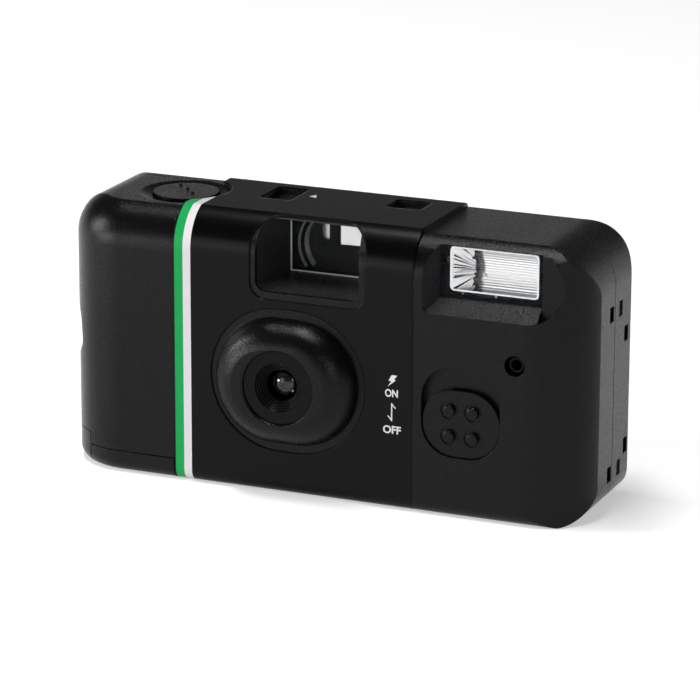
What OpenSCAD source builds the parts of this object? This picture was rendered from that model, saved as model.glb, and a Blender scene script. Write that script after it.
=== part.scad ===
// Single-use 35 mm film camera with flash, in millimetres.
// X runs along the body to the flash end, Y runs from the lens side to the back, Z is up.
// The origin is the middle of the box at the surface that the camera stands on.

/* [Body] */
// Width of the body
body_w = 108; // [106:0.5:114]
// Height of the body over the label band
body_h = 54; // [53.5:0.5:58]
// Depth of the body without the lens dome
body_d = 28; // [27.5:0.5:31]
// Wall of the two covers
wall = 1.2; // [1:0.1:1.4]
// How far the tops of the two ends lie below the label band
end_drop = 0.7; // [0.4:0.1:1]
// Depth of the front cover at the flash end
flash_side_d = 17; // [15:0.5:19]
// Depth of the front cover over the grip end and the band
grip_side_d = 24.6; // [24.4:0.1:25]
// Gap along the line where the covers meet
seam = 0.2; // [0.1:0.05:0.3]

/* [Rounding] */
// Upper corner at the flash end
flash_top_r = 10; // [8:0.5:11]
// Lower corner at the flash end
flash_bottom_r = 6; // [4:0.5:7]
// Upper corner at the grip end
grip_top_r = 8; // [7:0.5:9]
// Lower corner at the grip end
grip_bottom_r = 4; // [3:0.5:5]
// Edge between front and top
front_top_r = 8.4; // [8:0.2:8.6]
// Edge between front and bottom
front_bottom_r = 2.5; // [2:0.1:3]
// How far the front's top arc runs past the top before it is cut to an edge
top_crease = 0.6; // [0.3:0.1:0.8]
// Edges round the back
back_r = 1.8; // [1.6:0.1:2]
// Grip end seen from above
grip_r = 13; // [12.6:0.2:13.4]
// Flash end seen from above
flash_end_r = 12.4; // [11.8:0.2:13]
// How far the flash end's arc runs past the side before it is cut to an edge
end_crease = 0.4; // [0.2:0.1:0.6]
// Upright corners at the back
back_corner_r = 3.5; // [3:0.5:4]

/* [Label] */
// Distance of the label from the grip end
label_start = 25; // [24.6:0.1:25.6]
// Width of the label
label_w = 49.3; // [48.8:0.1:49.6]
// Thickness of the label
label_t = 0.2; // [0.15:0.05:0.3]
// Glue gap under the label
label_gap = 0.05; // [0.02:0.01:0.1]

/* [Lens] */
// Lens axis, sideways
lens_x = -5.3; // [-5.8:0.1:-4.8]
// Lens axis, height
lens_z = 22.6; // [22.4:0.1:22.8]
// Height of the dome round the lens
dome_h = 5; // [4.8:0.1:5.4]
// Half height of the dome's foot
dome_r = 12.3; // [11.8:0.1:12.8]
// How much longer than high the dome is
dome_stretch = 4.6; // [4:0.2:5.2]
// Opening in the dome
rim_r = 7.15; // [6.9:0.05:7.4]
// Clear radius of the lens
lens_r = 3; // [2.6:0.1:3.2]
// Radius of the aperture
aperture_r = 1.5; // [1:0.1:1.7]

/* [Viewfinder] */
// Middle of the finder, sideways
finder_x = -1.4; // [-1.6:0.1:-1.2]
// Width of the pocket at the front
pocket_w = 21.3; // [20.5:0.1:21.6]
// Lower edge of the pocket at the front
pocket_z = 39.7; // [39.5:0.1:40]
// Width of the finder's front lens opening
finder_w = 16.8; // [16:0.2:17]
// Width of the eyepiece
eyepiece_w = 8; // [7:0.5:9]
// Height of the eyepiece
eyepiece_h = 6; // [5:0.5:6.5]

/* [Flash] */
// Width of the flash window
flash_w = 20; // [19:0.5:20.5]
// Height of the flash window
flash_h = 9.8; // [9.2:0.2:10]
// Distance of the flash window from the flash end
flash_inset = 9.4; // [9:0.2:10]
// Thickness of the flash window
flash_t = 1.4; // [1:0.2:1.8]
// Radius of the flash tube
tube_r = 1.5; // [1.2:0.1:1.7]

/* [Flash switch] */
// Middle of the switch from the flash end
switch_inset = 24.1; // [23.8:0.1:24.6]
// Middle of the switch button at rest
switch_z = 18.4; // [18:0.1:18.8]
// Width of the switch button
switch_w = 15.4; // [14.6:0.2:15.6]
// Height of the switch button
switch_h = 12.9; // [12.3:0.1:13.1]
// Travel of the switch
switch_travel = 4.4; // [4:0.2:4.6]

/* [Shutter button] */
// Middle of the button from the grip end
button_inset = 20.6; // [20.4:0.1:20.8]
// Middle of the button, front to back
button_y = 4.1; // [3.9:0.1:4.3]
// Radius of the button
button_r = 6.3; // [6:0.1:6.4]
// Radius of the dish round the button
dish_r = 8.9; // [8.5:0.1:9.2]
// Travel of the button
button_travel = 1.2; // [0.8:0.1:1.3]

/* [Film] */
// Width of the film
film_w = 35; // [34.8:0.1:35.2]
// Thickness of the film
film_t = 0.15; // [0.12:0.01:0.2]
// Width of one frame
gate_w = 36; // [35:0.5:36.5]
// Height of one frame
gate_h = 24; // [23:0.5:24.5]
// Radius of the film cartridge
cartridge_r = 12.3; // [12.1:0.05:12.4]
// Height of the film cartridge without the hub
cartridge_h = 41.4; // [41.2:0.1:41.6]
// Radius of the cartridge's hub
hub_r = 5.6; // [5.3:0.1:5.7]
// Radius of the roll of unexposed film
roll_r = 9.2; // [8.6:0.1:9.4]
// Radius of the thumb wheel
wheel_r = 13; // [12.9:0.05:13.1]
// Height of the thumb wheel
wheel_h = 3; // [2.6:0.1:3.1]
// Grooves round the thumb wheel
wheel_teeth = 48; // [36:4:60]

/* [Power] */
// Radius of the battery
cell_r = 5.2; // [5:0.05:5.25]
// Height of the battery
cell_h = 44.4; // [44:0.1:44.6]
// Radius of the flash capacitor
capacitor_r = 5; // [4.6:0.1:5.1]
// Height of the flash capacitor
capacitor_h = 25; // [22:0.5:25.5]

/* [Clearances] */
// Gap round pieces that slide or press
slide_gap = 0.3; // [0.25:0.05:0.35]
// Gap round a turning shaft
shaft_gap = 0.06; // [0.04:0.01:0.09]
// Gap between fixed pieces
seat_gap = 0.1; // [0.05:0.01:0.15]

/* [Hidden] */
$fn = 64;
eps = 0.5;

// Outside and inside of the covers
x0 = -body_w / 2;
x1 = body_w / 2;
yb = (body_d + dome_h) / 2;
yf = yb - body_d;
end_top = body_h - end_drop;
in_x0 = x0 + wall;
in_x1 = x1 - wall;
in_yf = yf + wall;
in_yb = yb - wall;
in_top = end_top - wall;
flash_seam_y = yf + flash_side_d;
grip_seam_y = yf + grip_side_d;
label_x0 = x0 + label_start;
label_x1 = label_x0 + label_w;
label_in = label_t + label_gap;

// Film path
film_y = in_yb - 1.2;
film_z0 = lens_z - film_w / 2;
film_z1 = lens_z + film_w / 2;
gate_x0 = lens_x - gate_w / 2;
gate_x1 = lens_x + gate_w / 2;
gate_z0 = lens_z - gate_h / 2;
gate_z1 = lens_z + gate_h / 2;
perforation_pitch = 4.75;
cart_x = in_x0 + cartridge_r + 1.2;
cart_y = in_yb - cartridge_r - seat_gap;
cart_z0 = lens_z - cartridge_h / 2;
cart_z1 = lens_z + cartridge_h / 2;
lip_x = cart_x + 13.9;
roll_x = gate_x1 + roll_r + 4.1;
roll_y = film_y - roll_r - seat_gap;
chamber_r = roll_r + 0.7;
skin = 0.8;

// Levels of the chassis and of what stands on it
deck_z0 = film_z1 + 0.9;
deck_z1 = deck_z0 + 1.1;
roof_z0 = cart_z1 + 0.2;
roof_z1 = roof_z0 + skin;
wheel_z0 = roof_z1 + slide_gap;
wheel_z1 = wheel_z0 + wheel_h;
plate_z0 = wheel_z1 + 0.4;
plate_z1 = plate_z0 + 0.9;
floor_z = wall + 1.2;
gate_y0 = film_y - 1.7;
gate_y1 = film_y - seat_gap;

// Lens and shutter, from the front back
dome_y = yf - dome_h;
rim_y = dome_y + 0.1;
rim_bevel = 0.35;
crest_r = rim_r - 0.7;
crest_h = dome_h + 0.05;
dome_arc_r = ((dome_r - crest_r) * (dome_r - crest_r) + crest_h * crest_h) / (2 * crest_h);
hood_y1 = yf - 2;
lens_front_y = hood_y1;
lens_edge_y = hood_y1 + 1.4;
holder_y0 = in_yf + 0.2;
holder_y1 = holder_y0 + 1;
blade_t = 0.2;
blade_y = holder_y1 + 0.15;
front_plate_y0 = blade_y + blade_t + 0.75;
front_plate_y1 = front_plate_y0 + skin;
blade_x = lens_x - 7.2;
blade_z = lens_z + 9.4;
blade_end_r = aperture_r + 1.1;
lens_seat_r = lens_r + 1;
barrel_r = lens_seat_r + 2.1;

// Drive lever, latch and counter
lever_x = blade_x - 5;
lever_y = front_plate_y0 + 7.6;
lever_z0 = deck_z1 + 0.6;
lever_z1 = lever_z0 + 1.1;
lever_tip = [4.1, -7.9];
lever_tail = [1.7, 4.7];
latch_x = lever_x - 5;
latch_y0 = lever_y - 4.4;
latch_y1 = latch_y0 + 2;
latch_z = lever_z1 + 1.1;
latch_r = 0.7;
press_x = latch_x - 3.5;
press_y = latch_y0 + 1;
press_r = 0.6;
sprocket_x = lens_x - 8.2;
sprocket_y = film_y - 6.6;
sprocket_r = 6.3;
sprocket_z0 = film_z1 - 4.5;
sprocket_z1 = film_z1 - 2.3;
counter_x = sprocket_x - 5.8;
counter_y = sprocket_y - 3.1;
counter_r = 7.4;
counter_z1 = in_top - 0.7;
counter_z0 = counter_z1 - skin;
counter_gear_r = 4.2;
shaft_r = 1.6;
pivot_r = 1.1;

// Viewfinder funnel, front lens and eyepiece
finder_y = yf + 12;
finder_front = [finder_x - pocket_w / 2, finder_x + pocket_w / 2, pocket_z, in_top + 2];
finder_back = [finder_x - finder_w / 2, finder_x + finder_w / 2, pocket_z + 1.3, in_top - 0.9];
finder_z = (finder_back[2] + finder_back[3]) / 2;
finder_lens_t = 1.6;
finder_frame_t = 0.9;
eyepiece_y0 = in_yb - 1.7;

// Flash unit
flash_x1 = x1 - flash_inset;
flash_x0 = flash_x1 - flash_w;
flash_z1 = in_top - 0.3;
flash_z0 = flash_z1 - flash_h;
flash_floor_y = yf + 2.7;
flash_y0 = flash_floor_y + 0.2;
flash_y1 = flash_y0 + flash_t;
flash_mid_z = (flash_z0 + flash_z1) / 2;
reflector_r = flash_h / 2 - 0.3;
reflector_t = 0.4;
reflector_y = flash_y1 + 2.6;

// Flash switch, board and what is soldered to it
switch_x = x1 - switch_inset;
switch_floor_y = yf + 1.7;
well_y1 = switch_floor_y + 0.9;
board_y0 = yf + 4.4;
board_y1 = board_y0 + 0.9;
board_x0 = roll_x - 12;
board_x1 = x1 - 15.4;
board_wing_x1 = x1 - 4.8;
board_z0 = floor_z + 1.6;
board_z1 = deck_z0;
board_wing_z0 = capacitor_h + floor_z + 2;
hole_x = x1 - 13.5;
hole_z = board_wing_z0 + 1.7;
capacitor_x = x1 - 10.5;
capacitor_y = yf + 8.2;
cell_x = x1 - 8.4;
cell_y = in_yb - cell_r - 1;
cell_z0 = floor_z + 1;

// Top windows
counter_win = [counter_x + 1.9, counter_x + 8.3, grip_seam_y - 10.1, grip_seam_y - 0.6];
lamp_win = [lens_x + 12.8, lens_x + 19.8, yf + 17.4, yf + 23.8];
bevel = 1;

// Cartridge lid
lid_h = 4.4;
lid_x0 = x0 + 6.1;
corner_h = 6.9;
lid_y1 = cart_y + hub_r + 0.4;
button_x = x0 + button_inset;
button_top = end_top + 0.1;

// Prism between two X planes, drawn in Y and Z
module along_x(a, b) {
  translate([a, 0, 0]) rotate([90, 0, 90]) linear_extrude(b - a) children();
}

// Prism between two Y planes, drawn in X and Z
module along_y(a, b) {
  translate([0, b, 0]) rotate([90, 0, 0]) linear_extrude(b - a) children();
}

// Prism between two Z planes, drawn in X and Y
module along_z(a, b) {
  translate([0, 0, a]) linear_extrude(b - a) children();
}

module span(xa, xb, ya, yc, za, zb) {
  translate([xa, ya, za]) cube([xb - xa, yc - ya, zb - za]);
}

module post(x, y, za, zb, r) {
  translate([x, y, za]) cylinder(h = zb - za, r = r);
}

module rod_x(y, z, xa, xb, r) {
  translate([xa, y, z]) rotate([0, 90, 0]) cylinder(h = xb - xa, r = r);
}

module rod_y(x, z, ya, yc, r) {
  translate([x, yc, z]) rotate([90, 0, 0]) cylinder(h = yc - ya, r = r);
}

// Rectangle with a radius of its own at each corner
module rounded_outline(xa, xb, ya, yc, bl, br, tr, tl) {
  polygon([
    [xa + bl, ya], [xb - br, ya], [xb, ya + br], [xb, yc - tr],
    [xb - tr, yc], [xa + tl, yc], [xa, yc - tl], [xa, ya + bl]
  ]);
  translate([xa + bl, ya + bl]) circle(bl);
  translate([xb - br, ya + br]) circle(br);
  translate([xb - tr, yc - tr]) circle(tr);
  translate([xa + tl, yc - tl]) circle(tl);
}

module even_outline(xa, xb, ya, yc, r) {
  rounded_outline(xa, xb, ya, yc, r, r, r, r);
}

// Bar between two points, with square or with round ends
module bar_outline(a, b, r) {
  d = b - a;
  side = r * [-d[1], d[0]] / norm(d);
  polygon([a + side, a - side, b - side, b + side]);
}

module link_outline(a, b, r) {
  bar_outline(a, b, r);
  translate(a) circle(r);
  translate(b) circle(r);
}

// Straight-sided funnel between rectangles [left, right, bottom, top] at two Y planes
module funnel(ya, a, yc, b) {
  intersection() {
    along_z(min(a[2], b[2]) - eps, max(a[3], b[3]) + eps)
      polygon([[a[0], ya], [a[1], ya], [b[1], yc], [b[0], yc]]);
    along_x(min(a[0], b[0]) - eps, max(a[1], b[1]) + eps)
      polygon([[ya, a[2]], [yc, b[2]], [yc, b[3]], [ya, a[3]]]);
  }
}

function grown(box, d) = [box[0] - d, box[1] + d, box[2] - d, box[3] + d];

// Profile (radius, height) swept round an oval whose long side is stretched
module oval_sweep(stretch) {
  translate([stretch / 2, 0, 0]) rotate([90, 0, 0]) rotate([0, 0, -90])
    rotate_extrude(angle = 180) children();
  translate([-stretch / 2, 0, 0]) rotate([90, 0, 0]) rotate([0, 0, 90])
    rotate_extrude(angle = 180) children();
  along_x(-stretch / 2, stretch / 2) {
    rotate(90) children();
    mirror([0, 1]) rotate(90) children();
  }
}

// Coil of wire round the Z axis, as one tube
module coil(radius, wire, pitch, turns) {
  rings = ceil(turns * 14);
  sides = 6;
  points = [
    for (i = [0:rings]) let (a = 360 * turns * i / rings)
      for (j = [0:sides - 1]) let (b = 360 * j / sides, r = radius + wire * cos(b))
        [r * cos(a), r * sin(a), pitch * turns * i / rings + wire * sin(b)]
  ];
  sheet = [
    for (i = [0:rings - 1]) for (j = [0:sides - 1])
      let (a = i * sides + j, b = i * sides + (j + 1) % sides)
        each [[a, a + sides, b], [b, a + sides, b + sides]]
  ];
  caps = [
    for (j = [1:sides - 2]) each [
      [0, j, j + 1],
      [rings * sides, rings * sides + j + 1, rings * sides + j]
    ]
  ];
  polyhedron(points, concat(sheet, caps));
}

// Body seen from the front, from above and from the side, drawn in by an inset
module front_view(inset) {
  rounded_outline(x0 + inset, x1 - inset, inset, end_top - inset,
    grip_bottom_r - inset, flash_bottom_r - inset, flash_top_r - inset, grip_top_r - inset);
}

module top_view(inset) {
  rounded_outline(x0 + inset, x1 + end_crease - inset, yf + inset, yb - inset,
    back_corner_r - inset, flash_end_r - inset, back_corner_r - inset, back_corner_r - inset);
}

module side_view(inset, height) {
  fb = front_bottom_r - inset;
  br = back_r - inset;
  ft = front_top_r - inset;
  top = height - inset;
  arc_z = height + top_crease - front_top_r;
  arc_y = yf + front_top_r;
  polygon([
    [yf + inset + fb, inset], [yb - inset - br, inset], [yb - inset, inset + br], [yb - inset, top - br],
    [yb - inset - br, top], [arc_y, top], [arc_y, arc_z], [yf + inset, arc_z], [yf + inset, inset + fb]
  ]);
  translate([yf + front_bottom_r, front_bottom_r]) circle(fb);
  for (z = [back_r, height - back_r])
    translate([yb - back_r, z]) circle(br);
  intersection() {
    translate([arc_y, arc_z]) circle(ft);
    translate([yf, arc_z - 1]) square([front_top_r + 1, top - arc_z + 1]);
  }
}

// Front edge of the side view, measured from the axis of the grip end's upright corner
module edge_section(inset) {
  intersection() {
    translate([yf + grip_r, 0]) mirror([1, 0]) side_view(inset, end_top);
    translate([0, -eps]) square([grip_r + eps, body_h + 2 * eps]);
  }
}

// Grip end: the front edge swept round the corner and along the side
module grip_end(inset) {
  x = x0 + grip_r;
  y = yf + grip_r;
  translate([x, y, 0]) rotate([0, 0, 180]) rotate_extrude(angle = 90) edge_section(inset);
  intersection() {
    translate([x, 0, 0]) mirror([1, 0, 0]) along_y(y, yb + eps) edge_section(inset);
    along_x(x0 - eps, x + eps) side_view(inset, end_top);
  }
}

module ends_block(inset) {
  intersection() {
    along_y(yf - eps, yb + eps) front_view(inset);
    along_z(-eps, body_h + eps) top_view(inset);
    union() {
      along_x(x0 + grip_r, x1 + eps) side_view(inset, end_top);
      grip_end(inset);
    }
  }
}

// Outside of both covers together, with the label's bed sunk into the band
module cover_block() {
  intersection() {
    ends_block(0);
    union() {
      span(x0 - eps, label_x0, yf - eps, yb + eps, -eps, body_h + eps);
      span(label_x1, x1 + eps, yf - eps, yb + eps, -eps, body_h + eps);
    }
  }
  along_x(label_x0, label_x1) side_view(label_in, body_h);
}

module cover_shell() {
  difference() {
    cover_block();
    ends_block(wall);
  }
}

// Space of each cover in front of or behind the seam
module front_space() {
  difference() {
    union() {
      span(x0 - eps, label_x1, yf - eps, grip_seam_y - seam / 2, -eps, body_h + eps);
      span(label_x1 - eps, x1 + eps, yf - eps, flash_seam_y - seam / 2, -eps, body_h + eps);
    }
    span(x0 - 1, label_x0, yf - 1, yb, -1, lid_h);
    span(x0 - 1, lid_x0, yf - 1, yb, -1, corner_h);
  }
}

module rear_space() {
  span(x0 - eps, label_x1 + eps, grip_seam_y + seam / 2, yb + eps, -eps, body_h + eps);
  span(label_x1, x1 + eps, flash_seam_y + seam / 2, yb + eps, -eps, body_h + eps);
  span(x0 - eps, label_x0 - seam, lid_y1 + slide_gap, grip_seam_y + eps, -eps, lid_h - seam);
  span(x0 - eps, lid_x0 - seam, yf, grip_seam_y + eps, -eps, corner_h - seam);
}

// Lens dome: one arc from the foot up to the flat face
module dome_profile(inset, base) {
  face_h = dome_h - inset;
  intersection() {
    translate([crest_r, crest_h - dome_arc_r]) circle(dome_arc_r - inset);
    translate([crest_r, -base]) square([dome_r, face_h + base]);
  }
  translate([0, -base]) square([crest_r + 0.2, face_h + base]);
}

module dome(inset, base) {
  translate([lens_x, yf, lens_z]) oval_sweep(dome_stretch) dome_profile(inset, base);
}

// Bevel of the round opening in the dome
module rim_cut() {
  face = -dome_y;
  rod_y(lens_x, lens_z, dome_y - eps, yf, rim_r);
  translate([lens_x, 0, lens_z]) rotate([90, 0, 0]) rotate_extrude() polygon([
    [0, face + eps], [rim_r + rim_bevel + eps, face + eps], [rim_r, face - rim_bevel], [0, face - rim_bevel]
  ]);
}

module switch_well_outline(d) {
  even_outline(switch_x - switch_w / 2 - d, switch_x + switch_w / 2 + d,
    switch_z - switch_h / 2 - d, switch_z + switch_h / 2 + switch_travel + d, switch_h / 2);
}

module flash_pocket_outline(d) {
  top = end_top - 0.35;
  low = flash_z0 - 2.8;
  end_r = (top - low) / 2 - 0.05 + d;
  rounded_outline(flash_x0 - 2.6 - d, flash_x1 + 4.6 + d, low - d, top + d, 1.6 + d, end_r, end_r, 1.6 + d);
}

// Flat floor to the right of the window, and slopes from the front down to the window
module flash_pocket() {
  g = seat_gap;
  intersection() {
    along_y(yf - eps, flash_y0) flash_pocket_outline(0);
    union() {
      span(flash_x1, x1, yf - eps, flash_floor_y, flash_z0 - 4, body_h);
      funnel(yf, [flash_x0 - 2.6, flash_x1 + g, flash_z0 - 2.8, flash_z1 + 2],
        flash_y0, [flash_x0 - g, flash_x1 + g, flash_z0 - g, flash_z1 + g]);
    }
  }
  span(flash_x0 - g, flash_x1 + g, flash_y0 - g, flash_floor_y + 2, flash_z0 - g, flash_z1 + g);
}

module wheel_room() {
  post(cart_x, cart_y, wheel_z0 - slide_gap, wheel_z1 + slide_gap, wheel_r + 1.5 * slide_gap);
}

// Opening in the top with bevelled sides, [left, right, front, back]
module top_opening(w) {
  intersection() {
    along_y(w[2], w[3]) polygon([
      [w[0], body_h + 0.01], [w[1], body_h + 0.01], [w[1] - bevel, in_top - eps], [w[0] + bevel, in_top - eps]
    ]);
    along_x(w[0], w[1]) polygon([
      [w[2], body_h + 0.01], [w[3], body_h + 0.01], [w[3] - bevel, in_top - eps], [w[2] + bevel, in_top - eps]
    ]);
  }
}

// Slots in the flash end where the covers hook together
module hook_slot(y, z, wide, high, deep) {
  span(x1 - deep, x1 + eps, y - wide / 2, y + wide / 2, z - high / 2, z + high / 2);
}

module front_cover() {
  color([0.07, 0.07, 0.075]) difference() {
    union() {
      intersection() {
        cover_shell();
        front_space();
      }
      intersection() {
        cover_block();
        union() {
          funnel(yf, grown(finder_front, skin), finder_y, grown(finder_back, skin));
          along_y(in_yf - 0.1, flash_floor_y + 0.7) flash_pocket_outline(skin);
          along_y(in_yf - 0.1, well_y1) switch_well_outline(skin);
        }
      }
      dome(0, wall);
    }
    dome(wall, wall + eps);
    rim_cut();
    intersection() {
      funnel(yf, finder_front, finder_y, finder_back);
      along_y(yf - eps, finder_y) rounded_outline(finder_front[0], finder_front[1], finder_front[2],
        finder_front[3], 2.2, 2.2, 0.5, 0.5);
    }
    flash_pocket();
    along_y(yf - eps, switch_floor_y) switch_well_outline(slide_gap / 2);
    switch_slot();
    rod_y(hole_x, hole_z, yf - eps, in_yf + eps, 2);
    button_cut();
    top_opening(counter_win);
    top_opening(lamp_win);
    wheel_room();
    hook_slot(flash_seam_y - 1.8, end_top - 14.7, 2.2, 3, 0.8);
    hook_slot(flash_seam_y - 1.5, 7.2, 2.2, 3, 0.8);
    grip_catch();
  }
}

// Shallow hold for a finger in the rounded corner of the grip end
module grip_catch() {
  deep = 0.8;
  half = 5.2;
  mid_z = lens_z + 3.6;
  translate([x0 + grip_r, yf + grip_r, 0]) rotate([0, 0, 23]) along_y(-grip_r, grip_r) polygon([
    [-grip_r - 1, mid_z + half], [-grip_r, mid_z + half], [-grip_r + deep * 0.7, mid_z + half / 2],
    [-grip_r + deep, mid_z - half / 4], [-grip_r + deep, mid_z - half / 2], [-grip_r, mid_z - half],
    [-grip_r - 1, mid_z - half]
  ]);
}

module switch_slot() {
  span(switch_x - 1.7, switch_x + 1.7, switch_floor_y - eps, well_y1 + eps,
    switch_z - 2.2, switch_z + 2.2 + switch_travel);
}

module button_cut() {
  dish_floor = end_top - 0.6;
  translate([button_x, button_y, 0]) rotate_extrude() polygon([
    [0, in_top - eps], [button_r + slide_gap, in_top - eps], [button_r + slide_gap, dish_floor],
    [dish_r, end_top], [dish_r, body_h + eps], [0, body_h + eps]
  ]);
}

module rear_cover() {
  eye = [finder_x - eyepiece_w / 2 - seat_gap, finder_x + eyepiece_w / 2 + seat_gap,
    finder_z - eyepiece_h / 2 - seat_gap, finder_z + eyepiece_h / 2 + seat_gap];
  rib_x = [-14, -5, 5, 14];
  scoop_r = 8;
  color([0.08, 0.08, 0.085]) difference() {
    union() {
      intersection() {
        cover_shell();
        rear_space();
      }
      for (d = rib_x)
        span(lens_x + d - 0.5, lens_x + d + 0.5, film_y + film_t + 0.2, in_yb + 0.1, film_z0 + 2, film_z1 - 2);
      span(cart_x - 8.5, cart_x + 8.5, in_yb - 0.9, in_yb + 0.1, wheel_z1 - 1, wheel_z1 + 3);
    }
    funnel(in_yb - eps, eye, yb - 0.6, eye);
    funnel(yb - 0.6, eye, yb + eps, grown(eye, 1.4));
    wheel_room();
    intersection() {
      rod_x(yb + scoop_r - 1.1, (wheel_z0 + wheel_z1) / 2, cart_x - 9, cart_x + 9, scoop_r);
      span(cart_x - 9, cart_x + 9, in_yb, yb + 1, wheel_z0 - 6, wheel_z1 + 6);
    }
    hook_slot(flash_seam_y + 6.6, end_top - 20.4, 2.2, 3, 0.8);
    hook_slot(flash_seam_y + 7.4, 10.6, 2.2, 3, 0.8);
    hook_slot(flash_seam_y + 3.2, end_top - 14.7, 2, 3, 0.3);
    hook_slot(flash_seam_y + 3.7, 7.2, 2, 3, 0.3);
  }
}

module cartridge_lid() {
  bead_r = wall / 2;
  color([0.075, 0.075, 0.08]) {
    intersection() {
      cover_shell();
      span(lid_x0, label_x0 - seam, yf - eps, lid_y1 - bead_r, -eps, lid_h - seam);
    }
    rod_x(lid_y1 - bead_r, bead_r, lid_x0, label_x0 - seam, bead_r);
    difference() {
      post(cart_x, cart_y, wall - 0.1, cart_z0 - 0.2, hub_r - 0.6);
      post(cart_x, cart_y, wall, cart_z0, hub_r - 1.6);
    }
  }
}

module label_wrap() {
  edge = 0.05;
  finder_cut = [finder_front[0] - 1, finder_front[1] + 1.1, pocket_z - 1.4, body_h - 0.4];
  color([0.04, 0.04, 0.045]) difference() {
    along_x(label_x0 + edge, label_x1 - edge) difference() {
      side_view(0, body_h);
      side_view(label_t, body_h);
    }
    along_y(yf - eps, yf + front_top_r)
      rounded_outline(finder_cut[0], finder_cut[1], finder_cut[2], finder_cut[3], 3.2, 3.2, 5, 5);
    translate([lens_x, 0, lens_z]) along_y(yf - eps, yf + eps) lens_cut_outline(14, 3.6);
    post(button_x, button_y, in_top, body_h + eps, dish_r);
    along_z(in_top, body_h + eps) even_outline(counter_win[0], counter_win[1], counter_win[2], counter_win[3], 0.6);
    along_z(in_top, body_h + eps) even_outline(lamp_win[0], lamp_win[1], lamp_win[2], lamp_win[3], 0.6);
    along_y(in_yb, yb + eps) even_outline(finder_x - eyepiece_w / 2 - 2.6, finder_x + eyepiece_w / 2 + 2.6,
      finder_z - eyepiece_h / 2 - 2.4, finder_z + eyepiece_h / 2 + 2.4, 1.5);
  }
}

module lens_cut_outline(r, stretch) {
  link_outline([-stretch / 2, 0], [stretch / 2, 0], r);
}

module shutter_button() {
  dots = [[-3.3, 4.5], [-0.7, 2.1], [1.7, -0.7]];
  arm_z0 = in_top - 1.2;
  arm_z1 = in_top - 0.4;
  color([0.09, 0.09, 0.095]) {
    post(button_x, button_y, arm_z0 + 0.5, button_top, button_r);
    along_z(arm_z0, arm_z1) link_outline([button_x, button_y], [press_x, press_y], 1.5);
    along_z(arm_z0, arm_z1) link_outline([button_x, button_y], [button_x - button_r - 0.9, button_y], 1.4);
    along_z(arm_z0, arm_z1) link_outline([button_x, button_y], [button_x, button_y + button_r + 0.9], 1.4);
    post(press_x, press_y, latch_z + 0.9, arm_z0 + 0.1, press_r);
    for (d = dots)
      post(button_x + d[0], button_y + d[1], button_top - 0.1, button_top + 0.2, 0.35);
  }
}

module flash_switch() {
  face_y = yf + 0.4;
  bump = [2.35, 2.5];
  color([0.08, 0.08, 0.085]) difference() {
    union() {
      along_y(face_y, switch_floor_y - seat_gap)
        even_outline(switch_x - switch_w / 2, switch_x + switch_w / 2,
          switch_z - switch_h / 2, switch_z + switch_h / 2, switch_h / 2 - 0.1);
      span(switch_x - 1.4, switch_x + 1.4, switch_floor_y - 0.2, well_y1 + 0.3, switch_z - 1.9, switch_z + 1.9);
      span(switch_x - 3.8, switch_x + 3.8, well_y1 + 0.2, well_y1 + 0.8, switch_z - 3.9, switch_z + 3.9);
      for (sx = [-1, 1], sz = [-1, 1])
        translate([switch_x + sx * bump[0], face_y + 0.3, switch_z + sz * bump[1]]) rotate([90, 0, 0])
          rotate_extrude() bump_profile();
    }
    for (sx = [-1, 1], sz = [-1, 1])
      translate([switch_x + sx * bump[0], face_y + 0.25, switch_z + sz * bump[1]]) rotate([90, 0, 0])
        difference() {
          cylinder(h = 1, r = 1.75);
          translate([0, 0, -eps]) cylinder(h = 2, r = 1.2);
        }
  }
}

// Half section of a round-edged peg
module bump_profile() {
  edge_r = 0.45;
  square([0.75, 0.95]);
  square([1.2, 0.5]);
  translate([0.75, 0.5]) circle(edge_r);
}

module switch_contact() {
  back = well_y1 + 0.8;
  color([0.72, 0.55, 0.25]) {
    span(switch_x - 3.2, switch_x + 3.2, back, back + 0.2, switch_z - 3, switch_z - 1);
    for (s = [-1, 1])
      span(switch_x + s * 2.4 - 0.6, switch_x + s * 2.4 + 0.6, back + 0.1, board_y0 - seat_gap,
        switch_z - 2.6, switch_z - 1.4);
  }
}

// Flat ring behind the rim, and fine steps down to the lens
module lens_hood() {
  out = rim_r - seat_gap;
  front = -rim_y - 0.5;
  back = -hood_y1;
  steps = 5;
  mouth_r = lens_r + 1.9;
  step_w = (mouth_r - lens_r) / steps;
  step_h = (front - back - 0.3) / steps;
  color([0.05, 0.05, 0.055]) translate([lens_x, 0, lens_z]) rotate([90, 0, 0]) rotate_extrude() polygon(concat(
    [for (i = [0:steps - 1]) each [
      [lens_r + i * step_w, back + 0.3 + i * step_h],
      [lens_r + (i + 0.7) * step_w, back + 0.3 + (i + 1) * step_h]
    ]],
    [[mouth_r, front], [out, front], [out, back + 0.6], [barrel_r, back + 0.6], [barrel_r, back], [lens_r, back]]
  ));
}

// Meniscus of clear plastic, its bulge to the front
module taking_lens() {
  bulge_r = 7;
  hollow_r = 10;
  color([0.75, 0.82, 0.85]) translate([lens_x, 0, lens_z]) difference() {
    intersection() {
      rod_y(0, 0, lens_front_y - eps, lens_edge_y, lens_seat_r - seat_gap / 2);
      translate([0, lens_front_y - 0.25 + bulge_r, 0]) sphere(bulge_r);
      rod_y(0, 0, lens_front_y - eps, lens_edge_y, lens_seat_r);
    }
    translate([0, lens_edge_y - 0.5 + hollow_r, 0]) sphere(hollow_r);
  }
}

module aperture_ring() {
  color([0.05, 0.05, 0.05]) difference() {
    rod_y(lens_x, lens_z, lens_edge_y + 0.1, lens_edge_y + 0.4, lens_seat_r - seat_gap / 2);
    rod_y(lens_x, lens_z, lens_edge_y, lens_edge_y + 1, aperture_r);
  }
}

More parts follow.
